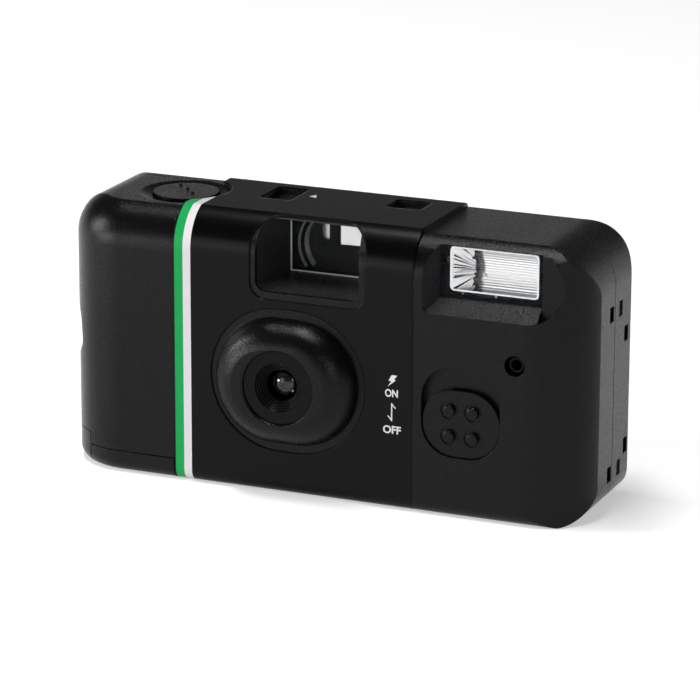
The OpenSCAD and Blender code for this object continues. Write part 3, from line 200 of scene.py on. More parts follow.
# %% [markdown]
# ## Moulded plastic
# The covers are spark-eroded moulding plastic: black, matte, with a grain of about a quarter of a
# millimetre that glitters a little. An image of the grain would need unwrapping. Noise on object
# coordinates needs none and has the same size on every piece. It does three things here: it is a bump,
# it shades the colour, and it makes some specks smoother than others. The edges of a moulding are never
# quite sharp; the Bevel node rounds them for the light without touching the solids.

# %% Plastic recipe
SPECK_LOW, SPECK_HIGH = 0.36, 0.64
GLITTER = 0.5
# Painted light for the finder's pocket: a paler, speckled colour where little light reaches in.
POCKET_PAINTED_LIGHT_LOW, POCKET_PAINTED_LIGHT_HIGH = (0.004, 0.004, 0.004), (0.042, 0.042, 0.042)


def grain_normal(tree, place, size, depth, edge=0.0):
    """A fine bump; with an edge radius, corners catch the light as a moulding's do. All sizes in mm."""
    noise = add_node(tree, "ShaderNodeTexNoise", {"Vector": place}, Scale=1 / (size * MM), Detail=3.0, Roughness=0.6)
    bump = add_node(tree, "ShaderNodeBump", {"Height": noise.outputs["Fac"]}, Strength=1.0, Distance=depth * MM)
    if edge:
        bevel = add_node(tree, "ShaderNodeBevel", samples=4, Radius=edge * MM)
        tree.links.new(bevel.outputs[0], bump.inputs["Normal"])
    return bump.outputs[0]


def blend(tree, factor, first, second):
    """A colour between two others, each of them a plain colour or another node's output."""
    mix = add_node(tree, "ShaderNodeMix", {"Factor": factor}, data_type="RGBA")
    for key, colour in (("A", first), ("B", second)):
        if isinstance(colour, bpy.types.NodeSocket):
            tree.links.new(colour, mix.inputs[key])
        else:
            mix.inputs[key].default_value = (*colour, 1)
    return mix.outputs["Result"]


def plastic(name, colour, rough, gloss, grain, depth, edge=0.0, mottle=0.25, pocket=None):
    """Grain size, bump depth and edge radius in mm; mottle is how far the grain shades the colour."""
    made, tree, out = new_material(name)
    place = add_node(tree, "ShaderNodeTexCoord").outputs["Object"]
    noise = add_node(tree, "ShaderNodeTexNoise", {"Vector": place}, Scale=1 / (grain * MM), Detail=3.0)
    speck = add_node(tree, "ShaderNodeMapRange", {"Value": noise.outputs["Fac"]},
                     From_Min=SPECK_LOW, From_Max=SPECK_HIGH).outputs[0]
    tint = blend(tree, speck, [c * (1 - mottle) for c in colour], [c * (1 + mottle) for c in colour])
    # In the finder's pocket the colour is lifted to a paler one: painted light.
    if pocket:
        tint = blend(tree, inside(tree, place, *pocket), tint, blend(tree, speck, POCKET_PAINTED_LIGHT_LOW, POCKET_PAINTED_LIGHT_HIGH))
    matte = add_node(tree, "ShaderNodeMapRange", {"Value": speck}, To_Min=min(1, rough * (1 + GLITTER * mottle)),
                     To_Max=rough * (1 - GLITTER * mottle))
    body = add_node(tree, "ShaderNodeBsdfPrincipled", {
        "Base Color": tint, "Roughness": matte.outputs[0], "Normal": grain_normal(tree, place, grain, depth, edge)},
        Specular_IOR_Level=gloss)
    tree.links.new(body.outputs[0], out.inputs["Surface"])
    return made


inner_black = plastic("inner_black", (0.004, 0.004, 0.004), rough=0.85, gloss=0.03, grain=0.25, depth=0.010)
tunnel_black = plastic("tunnel_black", (0.003, 0.003, 0.003), rough=0.9, gloss=0.0, grain=0.3, depth=0.012)
inner_white = plastic("inner_white", (0.72, 0.72, 0.69), rough=0.42, gloss=0.4, grain=0.4, depth=0.006,
                      mottle=0.05)
print("plastics of the inside:", [m.name for m in (inner_black, tunnel_black, inner_white)])

# %% [markdown]
# ## Covers and controls
# The covers have the deepest grain, the button, switch and wheel a finer one, and the lens hood is
# nearly smooth. The finder's pocket gets a paler, speckled colour: painted light, for the light that
# can't reach into it. It is the same moulding, so its finish stays one material, and a test on X, Y and Z
# finds the pocket.

# %% Outer plastics
def inside(tree, place, corners, level):
    """1 within an outline of X, Y corners (counter-clockwise from above) and above a level of Z, in mm."""
    tests = [((0, 0, 1), level)]
    for (xa, ya), (xb, yb) in zip(corners, corners[1:] + corners[:1]):
        tests.append(((ya - yb, xb - xa, 0), (ya - yb) * xa + (xb - xa) * ya))
    result = None
    for normal, limit in tests:
        reach = add_node(tree, "ShaderNodeVectorMath", {0: place}, operation="DOT_PRODUCT")
        reach.inputs[1].default_value = normal
        beyond = add_node(tree, "ShaderNodeMath", {0: reach.outputs["Value"]}, operation="GREATER_THAN")
        beyond.inputs[1].default_value = limit * MM
        if result:
            beyond = add_node(tree, "ShaderNodeMath", {0: result, 1: beyond.outputs[0]}, operation="MULTIPLY")
        result = beyond.outputs[0]
    return result


# The finder's pocket, where the cover's colour carries painted light.
POCKET_SIDE, POCKET_FRONT, POCKET_BACK, POCKET_BELOW = 3, 0.9, 0.5, 1.3
FINDER_LOW, FINDER_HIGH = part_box("finder_front_lens")
SLEEVE_LOW, SLEEVE_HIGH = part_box("label_wrap")
SLEEVE_Y = SLEEVE_LOW.y / MM
pocket_left, pocket_right = FINDER_LOW.x / MM - POCKET_SIDE, FINDER_HIGH.x / MM + POCKET_SIDE
pocket_front, pocket_back = SLEEVE_Y + POCKET_FRONT, FINDER_LOW.y / MM + POCKET_BACK
POCKET = (((pocket_left, pocket_front), (pocket_right, pocket_front),
           (pocket_right, pocket_back), (pocket_left, pocket_back)), FINDER_LOW.z / MM - POCKET_BELOW)

MOULDED = (0.0026, 0.0026, 0.0028)
cover_black = plastic("cover_black", MOULDED, rough=0.22, gloss=0.16, grain=0.26, depth=0.055, edge=0.25,
                      mottle=0.95, pocket=POCKET)
control_black = plastic("control_black", MOULDED, rough=0.22, gloss=0.16, grain=0.20, depth=0.040, edge=0.18,
                        mottle=0.8)
hood_black = plastic("hood_black", (0.0035, 0.0035, 0.0037), rough=0.26, gloss=0.095, grain=0.30, depth=0.010,
                     edge=0.06)
print("pocket from x", round(pocket_left, 2), "to", round(pocket_right, 2))

# %% [markdown]
# ## The printed sleeve
# A thin plastic sleeve is wrapped round the middle of the body. It is smoother than the covers, with
# hardly any grain, and its print is plain black with a green and a pale stripe along one edge. Printing
# it as an image would need unwrapping. The stripes are bands of X, so a colour ramp on the object's own
# X draws them round the front and the top, where they end. The small triangle beside the counter's
# window is found by the same test as the pocket.

# %% Sleeve finish
STRIPES = ((0.0, (0.010, 0.008, 0.012)), (0.22, (0.011, 0.350, 0.088)), (2.0, (0.74, 0.705, 0.725)),
           (3.62, (0.0008, 0.0008, 0.0009)))
STRIPES_WIDE, STRIPE_END_Y = 5, 5.5
PLAIN_BLACK = STRIPES[-1][1]
MARK, MARK_LEVEL, MARK_WHITE = ((-8.94, 7.45), (-7.24, 6.9), (-8.17, 9.05)), 53.9, (0.75, 0.75, 0.75)


def colour_ramp(tree, factor, stops, interpolation="LINEAR"):
    """A colour ramp with a stop for each position and colour."""
    node = add_node(tree, "ShaderNodeValToRGB", {"Fac": factor})
    node.color_ramp.interpolation = interpolation
    elements = node.color_ramp.elements
    while len(elements) < len(stops):
        elements.new(0.9)
    for element, (position, colour) in zip(elements, stops):
        element.position = position
        element.color = (*colour, 1)
    return node.outputs["Color"]


sleeve, tree, out = new_material("sleeve_print")
place = add_node(tree, "ShaderNodeTexCoord").outputs["Object"]
axes = add_node(tree, "ShaderNodeSeparateXYZ", {0: place}).outputs
share = add_node(tree, "ShaderNodeMapRange", {"Value": axes["X"]}, From_Min=SLEEVE_LOW.x,
                 From_Max=SLEEVE_LOW.x + STRIPES_WIDE * MM)
stops = [(start / STRIPES_WIDE, colour) for start, colour in STRIPES]
stripes = colour_ramp(tree, share.outputs[0], stops, "CONSTANT")
behind = add_node(tree, "ShaderNodeMath", {0: axes["Y"]}, operation="GREATER_THAN")
behind.inputs[1].default_value = STRIPE_END_Y * MM
printed = blend(tree, behind.outputs[0], stripes, PLAIN_BLACK)
printed = blend(tree, inside(tree, place, MARK, MARK_LEVEL), printed, MARK_WHITE)
body = add_node(tree, "ShaderNodeBsdfPrincipled", {
    "Base Color": printed, "Normal": grain_normal(tree, place, 0.9, 0.004, edge=0.5)},
    Roughness=0.26, Specular_IOR_Level=0.125)
tree.links.new(body.outputs[0], out.inputs["Surface"])
print("sleeve from x", round(SLEEVE_LOW.x / MM, 2), "to", round(SLEEVE_HIGH.x / MM, 2))

# %% [markdown]
# ## Clear plastic and glass
# Thick clear pieces, such as the lens and the eyepiece, get full transmission with their true index of
# refraction, which gives their bright edges by itself. The thin panes in front of the finder, the flash
# and the counter would only cost light that way. They are made see-through with alpha, more mirror-like
# where they are seen edge on, as a flat pane is.

# %% Clear finishes
RIPPLE, RIPPLE_DEEP = 3.0, 0.002
PANE_IOR, PANE_EDGE = 1.49, 0.75


def clear(name, tint, rough, ior=PANE_IOR):
    made, tree, out = new_material(name)
    place = add_node(tree, "ShaderNodeTexCoord").outputs["Object"]
    body = add_node(tree, "ShaderNodeBsdfPrincipled", {"Normal": grain_normal(tree, place, RIPPLE, RIPPLE_DEEP)},
                    Base_Color=(*tint, 1), Roughness=rough, IOR=ior, Transmission_Weight=1.0)
    tree.links.new(body.outputs[0], out.inputs["Surface"])
    return made


def thin_clear(name, tint, opacity):
    """A thin pane: mostly see-through for light and eye, more mirror-like where it is seen edge on."""
    made, tree, out = new_material(name)
    place = add_node(tree, "ShaderNodeTexCoord").outputs["Object"]
    edge = add_node(tree, "ShaderNodeLayerWeight", Blend=0.25)
    share = add_node(tree, "ShaderNodeMapRange", {"Value": edge.outputs["Facing"]}, To_Min=opacity, To_Max=PANE_EDGE)
    body = add_node(tree, "ShaderNodeBsdfPrincipled", {
        "Alpha": share.outputs[0], "Normal": grain_normal(tree, place, RIPPLE, RIPPLE_DEEP)},
        Base_Color=(*tint, 1), Roughness=0.04, IOR=PANE_IOR)
    tree.links.new(body.outputs[0], out.inputs["Surface"])
    return made


window_clear = clear("window_clear", (0.84, 0.85, 0.86), rough=0.02)
pane_clear = thin_clear("pane_clear", (0.02, 0.025, 0.03), opacity=0.06)
flash_clear = thin_clear("flash_clear", (0.05, 0.065, 0.085), opacity=0.03)
lens_clear = clear("lens_clear", (0.10, 0.11, 0.13), rough=0.0)
tube_glass = clear("tube_glass", (0.97, 0.98, 1.0), rough=0.03, ior=1.46)
lamp_glass = clear("lamp_glass", (1.0, 0.62, 0.35), rough=0.05, ior=1.5)
print("clear finishes:", [m.name for m in (window_clear, pane_clear, flash_clear, lens_clear, tube_glass, lamp_glass)])

# %% [markdown]
# ## Metal, and the rest of the inside
# The metals differ in colour and in how finely they are brushed: a larger scale along one axis squeezes
# the noise into fine lines. Wrapped and lacquered parts of the inside are plastics with their own colour.

# %% Metals and inner parts
METAL_PATCH, METAL_DARK, METAL_PALE = 1.5, 0.85, 1.08


def metal(name, colour, rough, grain=0.2, depth=0.003, stretch=(1, 1, 1)):
    made, tree, out = new_material(name)
    place = add_node(tree, "ShaderNodeTexCoord").outputs["Object"]
    drawn = add_node(tree, "ShaderNodeMapping", {"Vector": place}, Scale=stretch).outputs[0]
    patches = add_node(tree, "ShaderNodeTexNoise", {"Vector": drawn}, Scale=1 / (METAL_PATCH * MM), Detail=5.0)
    tint = blend(tree, patches.outputs["Fac"], [c * METAL_DARK for c in colour],
                 [min(1, c * METAL_PALE) for c in colour])
    body = add_node(tree, "ShaderNodeBsdfPrincipled", {
        "Base Color": tint, "Normal": grain_normal(tree, drawn, grain, depth)}, Metallic=1.0, Roughness=rough)
    tree.links.new(body.outputs[0], out.inputs["Surface"])
    return made


bright_foil = metal("bright_foil", (0.92, 0.93, 0.95), rough=0.12)
spring_steel = metal("spring_steel", (0.58, 0.58, 0.60), rough=0.32, stretch=(1, 6, 1))
contact_brass = metal("contact_brass", (0.74, 0.55, 0.24), rough=0.30, stretch=(6, 1, 1))
blade_steel = metal("blade_steel", (0.06, 0.06, 0.065), rough=0.45)
cartridge_tin = metal("cartridge_tin", (0.55, 0.50, 0.42), rough=0.35, stretch=(1, 1, 8))
wound_copper = metal("wound_copper", (0.55, 0.27, 0.12), rough=0.38, grain=0.25, depth=0.02, stretch=(1, 1, 9))
capacitor_sleeve = plastic("capacitor_sleeve", (0.02, 0.025, 0.09), rough=0.30, gloss=0.5, grain=0.6, depth=0.004)
cell_wrap = plastic("cell_wrap", (0.16, 0.16, 0.19), rough=0.25, gloss=0.5, grain=0.8, depth=0.003)
board_lacquer = plastic("board_lacquer", (0.03, 0.022, 0.012), rough=0.35, gloss=0.3, grain=0.35, depth=0.008)
film_base = plastic("film_base", (0.10, 0.045, 0.035), rough=0.18, gloss=0.5, grain=1.2, depth=0.002)
felt_pile = plastic("felt_pile", (0.012, 0.012, 0.013), rough=0.95, gloss=0.1, grain=0.12, depth=0.06)
print("finishes so far:", len(bpy.data.materials))

# %% [markdown]
# ## Finishes on the solids
# Each solid takes one finish. A table of finishes and their solids is quicker to check by eye than a
# line of code for every solid.

# %% Put the finishes on the solids
FINISH_OF = {
    cover_black: ("front_cover", "rear_cover", "cartridge_lid"),
    control_black: ("shutter_button", "flash_switch", "thumb_wheel"),
    sleeve: ("label_wrap",),
    hood_black: ("lens_hood", "board_post"),
    inner_black: ("aperture_ring", "lens_holder", "chassis", "top_plate", "cartridge_spool", "supply_spool"),
    tunnel_black: ("finder_frame",),
    inner_white: ("drive_lever", "latch_lever", "sprocket_wheel", "counter_disc"),
    window_clear: ("finder_eyepiece",),
    pane_clear: ("counter_window", "lamp_window", "finder_front_lens"),
    flash_clear: ("flash_window",),
    lens_clear: ("taking_lens",),
    tube_glass: ("flash_tube",),
    lamp_glass: ("ready_lamp",),
    bright_foil: ("flash_reflector",),
    spring_steel: ("blade_spring", "drive_spring", "latch_pin", "latch_spring", "cartridge_caps",
                   "battery_contact_top", "battery_contact_bottom"),
    contact_brass: ("switch_contact", "sync_contact"),
    blade_steel: ("shutter_blade",),
    cartridge_tin: ("cartridge_shell",),
    wound_copper: ("transformer", "trigger_coil"),
    capacitor_sleeve: ("main_capacitor",),
    cell_wrap: ("battery",),
    board_lacquer: ("circuit_board",),
    film_base: ("film_strip", "film_roll"),
    felt_pile: ("light_trap_felt",),
}
for finish, members in FINISH_OF.items():
    for member in members:
        nodes[member].data.materials.clear()
        nodes[member].data.materials.append(finish)
print("finishes on", sum(len(m) for m in FINISH_OF.values()), "of", len(nodes), "nodes")

# %% [markdown]
# ## Print beside the flash switch
# The sleeve carries a bolt, ON, an arrow with half a head at each end, and OFF in white beside the
# switch. A material could draw them, but letters need outlines, so they are made as thin as ink. Words
# start as text, are made a mesh and fitted to the size they have on the sleeve.

# %% Words
INK = 0.012
LETTER_WEIGHT, LETTER_DEEP = 0.03, 0.05
ink_white = plastic("ink_white", (0.80, 0.80, 0.80), rough=0.45, gloss=0.3, grain=0.5, depth=0.002, mottle=0.03)


def mm(point):
    """A point given in millimetres, as the frame's metres."""
    return Vector(point) * MM


def add_word(shape, word, left, right, low, high):
    """Adds a word to a bmesh, fitted between left and right, low and high, standing on the sleeve's front."""
    text = bpy.data.curves.new(word, "FONT")
    text.body = word
    text.offset = LETTER_WEIGHT
    text.extrude = LETTER_DEEP
    carrier = bpy.data.objects.new(word, text)
    scene.collection.objects.link(carrier)
    bpy.context.view_layer.update()
    mesh = bpy.data.meshes.new_from_object(carrier.evaluated_get(bpy.context.evaluated_depsgraph_get()))
    bpy.data.objects.remove(carrier)
    span = [[f(v.co[k] for v in mesh.vertices) for f in (min, max)] for k in range(2)]
    wide = (right - left) / (span[0][1] - span[0][0])
    tall = (high - low) / (span[1][1] - span[1][0])
    mesh.transform(Matrix.Translation((-span[0][0], -span[1][0], 0)))
    mesh.transform(Matrix.Diagonal((wide * MM, tall * MM, INK / (2 * LETTER_DEEP) * MM, 1)))
    mesh.transform(Matrix.Rotation(math.radians(90), 4, "X"))
    mesh.transform(Matrix.Translation(mm((left, SLEEVE_Y - INK / 2, low))))
    shape.from_mesh(mesh)
    bpy.data.meshes.remove(mesh)


print_shape = bmesh.new()
add_word(print_shape, "ON", left=14.75, right=17.36, low=22.2, high=23.72)
add_word(print_shape, "OFF", left=14.4, right=18.0, low=15.02, high=16.6)
print("words with", len(print_shape.faces), "faces")

# %% [markdown]
# ## Bolt and arrow
# The bolt and the arrow are faces drawn from a few points and extruded to the thickness of ink. The half
# heads stand a little higher than the shaft, so that their front faces don't lie in one plane where they
# cross. Like every added piece below, the print ends in a helper that merges doubled points, turns the
# faces outwards and hangs the piece on the body that carries it.

# %% Bolt and arrow
HEAD_INK = 1.2 * INK
MERGE = 0.0005 * MM


def make_piece(name, shape, finish, body, smooth=False):
    """Makes a piece with one finish from a bmesh, on the body that carries it."""
    bmesh.ops.remove_doubles(shape, verts=shape.verts, dist=MERGE)
    bmesh.ops.recalc_face_normals(shape, faces=shape.faces)
    for face in shape.faces:
        face.smooth = smooth
    mesh = bpy.data.meshes.new(name)
    shape.to_mesh(mesh)
    shape.free()
    mesh.materials.append(finish)
    piece = bpy.data.objects.new(name, mesh)
    scene.collection.objects.link(piece)
    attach(piece, body)
    print(name, "on", body, "with", len(mesh.polygons), "faces")
    return piece


def thicken(shape, faces, vec):
    """Extrudes flat faces along a vector in mm, which makes a closed plate of them."""
    grown = bmesh.ops.extrude_face_region(shape, geom=faces)
    moved = [v for v in grown["geom"] if isinstance(v, bmesh.types.BMVert)]
    bmesh.ops.translate(shape, verts=moved, vec=mm(vec))


def add_patch(shape, outline, thick):
    """Adds a flat plate with the given outline of X, Z points, its back on the sleeve's front."""
    face = shape.faces.new([shape.verts.new(mm((x, SLEEVE_Y, z))) for x, z in outline])
    thicken(shape, [face], (0, -thick, 0))


BOLT = ((16.1, 26.52), (15.44, 25.39), (16.03, 25.28), (15.31, 24.23), (16.95, 25.57), (16.54, 25.65),
        (17.22, 26.52))
ARROW_X, ARROW_Z = 16.13, 19.27
SHAFT = ((-0.13, -1.77), (0.13, -1.77), (0.13, 1.77), (-0.13, 1.77))
HALF_HEAD = ((-0.13, 1.88), (0.87, 0.85), (0.71, 0.68), (0.07, 1.33))
add_patch(print_shape, BOLT, INK)
add_patch(print_shape, [(ARROW_X + x, ARROW_Z + z) for x, z in SHAFT], INK)
for sign in (1, -1):
    add_patch(print_shape, [(ARROW_X + sign * x, ARROW_Z + sign * z) for x, z in HALF_HEAD], HEAD_INK)
make_piece("switch_print", print_shape, ink_white, "camera")

# %% [markdown]
# ## The flash reflector
# Behind the flash window sits a shallow trough of bright foil. Fine ribs run along it, and its left end is
# pressed into a fan of creases that opens to the front. Between the two, a dark band with a ragged edge is
# painted on the foil: a painted dark reflection. Ribs and creases could be a bump, but a mirror shows its
# form in what it reflects, so they are real. A grid is the quick start: each of its points keeps its place
# along and across, and is pushed back by the depth of the trough there. Each point also keeps how deep its
# crease is, and the finish paints shade into the creases there.

# %% Foil shape
FOIL_LOW, FOIL_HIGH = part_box("flash_reflector")
FOIL_ACROSS, FOIL_UP = 90, 136
FOIL_IN_LEFT, FOIL_IN_RIGHT, FOIL_IN_LOW, FOIL_IN_HIGH = 0.35 * MM, 0.1 * MM, 0.85 * MM, 0.05 * MM
FOIL_BACK = 0.05 * MM
FAN_END, FAN_EYE, WALL_START = 0.30, 1.25, 0.972
TROUGH_DEEP, CREASE_DEEP, RIBS, RIB_DEEP = 1.2, 0.2, 34, 0.026
TROUGH_POWER, FAN_POWER, WALL_POWER = 0.9, 0.75, 0.6
CREASE_WAVES = ((0.45, 17, 0.6), (0.45, 37, 2.1), (0.3, 61, 0.0))


def crease(across, rise):
    """Depth of the fan's creases round its eye, as a sum of a few waves that don't repeat."""
    turn = math.atan2(across, FAN_EYE - rise)
    return sum(deep * math.sin(often * turn + offset) for deep, often, offset in CREASE_WAVES)


def foil_depth(along, across):
    """Depth of the foil in mm: along runs 0 to 1 from the left, across -1 to 1 from the bottom."""
    trough = TROUGH_DEEP * math.sqrt(max(0.0, 1 - across * across)) ** TROUGH_POWER
    if along < FAN_END:
        rise = along / FAN_END
        swell = rise * (1.2 - rise) * (1 - across * across)
        return trough * rise ** FAN_POWER + CREASE_DEEP * crease(across, rise) * swell
    rib = RIB_DEEP * math.cos(RIBS * math.pi * (across + 1) / 2) * min(1, 3 * (1 - abs(across)))
    wall = max(0.0, (along - WALL_START) / (1 - WALL_START))
    return (trough + rib) * (1 - wall ** WALL_POWER)


foil = bmesh.new()
bmesh.ops.create_grid(foil, x_segments=FOIL_ACROSS, y_segments=FOIL_UP, size=1)
foil_left, foil_right = FOIL_LOW.x + FOIL_IN_LEFT, FOIL_HIGH.x - FOIL_IN_RIGHT
foil_bottom, foil_top = FOIL_LOW.z + FOIL_IN_LOW, FOIL_HIGH.z - FOIL_IN_HIGH
foil_front = FOIL_LOW.y + FOIL_BACK
# Each point of the fan keeps its crease depth, from which the finish paints shade into the creases.
fold = foil.verts.layers.float.new("fold")
for point in foil.verts:
    along, across = (point.co.x + 1) / 2, point.co.y
    if along < FAN_END:
        rise = along / FAN_END
        point[fold] = crease(across, rise) * min(1, 9 * rise) * (1 - 0.95 * rise)
    point.co = (foil_left + along * (foil_right - foil_left), foil_front + foil_depth(along, across) * MM,
                (foil_bottom + foil_top) / 2 + across * (foil_top - foil_bottom) / 2)
bmesh.ops.triangulate(foil, faces=foil.faces)
print("foil of", len(foil.faces), "triangles")

# %% Foil finish
FRAY_PATCH, FRAY = 1.1, 1.3
# Greys along the foil from left to right; the dip where the fan meets the ribs is a painted dark reflection.
PAINTED_BAND_GREYS = ((0.0, 1.0), (0.235, 1.0), (0.245, 0.015), (0.27, 0.05), (0.335, 0.16), (0.37, 1.0))
# Painted shade in the fan's creases, where the kept crease depth is high.
CREASE_FROM, CREASE_TO, CREASE_PAINTED_SHADE = 0.18, 0.42, (0.03, 0.03, 0.035)
ribbed_foil, tree, out = new_material("ribbed_foil")
place = add_node(tree, "ShaderNodeTexCoord").outputs["Object"]
ragged = add_node(tree, "ShaderNodeTexNoise", {"Vector": place}, Scale=1 / (FRAY_PATCH * MM), Detail=3.0)
shift = add_node(tree, "ShaderNodeMapRange", {"Value": ragged.outputs["Fac"]}, To_Min=-FRAY * MM, To_Max=FRAY * MM)
across_x = add_node(tree, "ShaderNodeSeparateXYZ", {0: place}).outputs["X"]
frayed = add_node(tree, "ShaderNodeMath", {0: across_x, 1: shift.outputs[0]}, operation="ADD")
share = add_node(tree, "ShaderNodeMapRange", {"Value": frayed.outputs[0]}, From_Min=foil_left, From_Max=foil_right)
silver_and_painted_band = colour_ramp(tree, share.outputs[0], [(at, (grey, grey, grey * 1.02)) for at, grey in PAINTED_BAND_GREYS])
kept_fold = add_node(tree, "ShaderNodeAttribute", attribute_name="fold")
deep = add_node(tree, "ShaderNodeMapRange", {"Value": kept_fold.outputs["Fac"]}, interpolation_type="SMOOTHSTEP",
                From_Min=CREASE_FROM, From_Max=CREASE_TO)
body = add_node(tree, "ShaderNodeBsdfPrincipled", {
    "Base Color": blend(tree, deep.outputs[0], silver_and_painted_band, CREASE_PAINTED_SHADE),
    "Normal": grain_normal(tree, place, 0.5, 0.004)}, Metallic=0.7, Roughness=0.2)
tree.links.new(body.outputs[0], out.inputs["Surface"])
foil_piece = make_piece("flash_foil", foil, ribbed_foil, "camera")
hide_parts("flash_reflector")

# %% [markdown]
# ## Rim and clips round the foil
# The foil ends in a bright rounded rim, and under it dark clips and two brass contacts show through the
# window. A rim could be swept along a path. It is flat, so a rectangle with rounded corners, inset by
# the rim's width and emptied, gives it with fewer steps. The finder's lens edge below is made so too.

# %% Rim
RING_THICK = 0.25


def flat_ring(x_span, z_span, y0, width, corner=0.0):
    """A flat ring of a width within an X and a Z span, facing the front, with rounded corners where given."""
    ring = bmesh.new()
    bmesh.ops.create_grid(ring, x_segments=1, y_segments=1, size=1)
    for point in ring.verts:
        point.co = (x_span[point.co.x > 0], y0, z_span[point.co.y > 0])
    if corner:
        bmesh.ops.bevel(ring, geom=ring.verts[:], offset=corner, offset_type="OFFSET", segments=5, profile=0.5,
                        affect="VERTICES", material=-1)
    ring.normal_update()
    band = bmesh.ops.inset_region(ring, faces=ring.faces[:], thickness=width, depth=0, use_boundary=True,
                                  use_even_offset=True)
    bmesh.ops.delete(ring, geom=[f for f in ring.faces if f not in band["faces"]], context="FACES")
    thicken(ring, ring.faces[:], (0, RING_THICK, 0))
    return ring


RIM_WIDE, RIM_CORNER = 0.32 * MM, 0.9 * MM
RIM_OUT_LEFT, RIM_OUT_RIGHT, RIM_OUT_LOW, RIM_OUT_HIGH = 0.3 * MM, 0.1 * MM, 0.2 * MM, 0.05 * MM
rim_x = (foil_left - RIM_OUT_LEFT, foil_right + RIM_OUT_RIGHT)
rim_z = (foil_bottom - RIM_OUT_LOW, foil_top + RIM_OUT_HIGH)
rim = flat_ring(rim_x, rim_z, foil_front, RIM_WIDE, RIM_CORNER)
make_piece("foil_rim", rim, bright_foil, "camera")

# %% Clips
clip_black = plastic("clip_black", (0.006, 0.006, 0.007), rough=0.4, gloss=0.2, grain=0.4, depth=0.006)
CLIPS = ((0.56, 0.11, clip_black, "inner_black"), (0.50, 0.022, contact_brass, "contact"),
         (0.12, 0.014, contact_brass, "contact"), (0.30, 0.20, clip_black, "inner_black"))
CLIP_DEEP, CLIP_TALL, CLIP_EDGE = 0.5 * MM, 0.42 * MM, 0.08 * MM
CLIP_BACK, CLIP_RAISE = 0.32 * MM, 0.27 * MM
clip_y, clip_z = foil_front + CLIP_BACK, FOIL_LOW.z + CLIP_RAISE
foil_wide = foil_right - foil_left
for number, (start, wide, finish, slot) in enumerate(CLIPS):
    clip = bmesh.new()
    bmesh.ops.create_cube(clip, size=1)
    bmesh.ops.scale(clip, verts=clip.verts, vec=(foil_wide * wide, CLIP_DEEP, CLIP_TALL))
    bmesh.ops.bevel(clip, geom=clip.edges[:], offset=CLIP_EDGE, offset_type="OFFSET", segments=2, profile=0.5,
                    affect="EDGES", material=-1)
    clip_x = foil_left + foil_wide * (start + wide / 2)
    bmesh.ops.translate(clip, verts=clip.verts, vec=(clip_x, clip_y, clip_z))
    make_piece("foil_clip_%d" % number, clip, finish, "camera")

# %% [markdown]
# ## Figures on the counter
# The disc under the top window counts the pictures that are left. Its figures are real print on the
# disc: small words laid flat round the axis, with a dot for each picture in between, and they turn
# with it. They are made upright, where the helper for words puts them, and then laid down.

# %% Counter figures
DISC_LOW, DISC_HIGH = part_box("counter_disc")
disc_middle = (DISC_LOW + DISC_HIGH) / 2
ink_black = plastic("ink_black", (0.01, 0.01, 0.01), rough=0.5, gloss=0.2, grain=0.5, depth=0.002)
FIGURES, PICTURES_EACH, FIGURE_R, FIGURE_TALL = 10, 3, 5.6, 1.7
ONE_DIGIT, TWO_DIGITS, DOT_R = 0.62, 1.1, 0.2
step_turn = 2 * math.pi / FIGURES
upright = Matrix.Rotation(math.radians(90), 4, "X")
to_disc = Matrix.Translation((disc_middle.x, disc_middle.y, DISC_HIGH.z + 0.01 * MM))
from_sleeve = Matrix.Rotation(math.radians(-90), 4, "X") @ Matrix.Translation(mm((0, -SLEEVE_Y, 0)))
figures = bmesh.new()
for number in range(FIGURES):
    one = bmesh.new()
    figure = str(PICTURES_EACH * number)
    wide = FIGURE_TALL * (ONE_DIGIT if len(figure) == 1 else TWO_DIGITS)
    add_word(one, figure, -wide / 2, wide / 2, FIGURE_R - FIGURE_TALL / 2, FIGURE_R + FIGURE_TALL / 2)
    for dot in range(1, PICTURES_EACH):
        round_axis = Matrix.Rotation(-dot * step_turn / PICTURES_EACH, 4, "Y")
        spot = round_axis @ Matrix.Translation(mm((0, SLEEVE_Y, FIGURE_R))) @ upright
        bmesh.ops.create_circle(one, cap_ends=True, segments=12, radius=DOT_R * MM, matrix=spot)
    lay = to_disc @ Matrix.Rotation(number * step_turn, 4, "Z") @ from_sleeve
    bmesh.ops.transform(one, matrix=lay, verts=one.verts)
    carrier = bpy.data.meshes.new("figure")
    one.to_mesh(carrier)
    one.free()
    figures.from_mesh(carrier)
    bpy.data.meshes.remove(carrier)
make_piece("counter_figures", figures, ink_black, "counter")

# %% [markdown]
# ## Inside the finder
# Behind the finder's opening show the ground edge of its front lens, bright along the left and the
# bottom, and the round hollows of the lenses, whose rims read as two arcs. The edge is a flat ring like
# the foil's. Each rim is a short tube, spun from its section and cut off by a flat top and bottom.

# %% Finder lens edge
edge_clear = plastic("edge_clear", (0.90, 0.91, 0.93), rough=0.25, gloss=0.5, grain=0.5, depth=0.004, mottle=0.06)
EDGE_IN, EDGE_WIDE, EDGE_AHEAD = 0.42 * MM, 0.20 * MM, 0.02 * MM
edge_x = (FINDER_LOW.x + EDGE_IN, FINDER_HIGH.x - EDGE_IN)
edge_z = (FINDER_LOW.z + EDGE_IN, FINDER_HIGH.z - EDGE_IN)
border = flat_ring(edge_x, edge_z, FINDER_LOW.y - EDGE_AHEAD, EDGE_WIDE)
make_piece("finder_lens_edge", border, edge_clear, "camera")

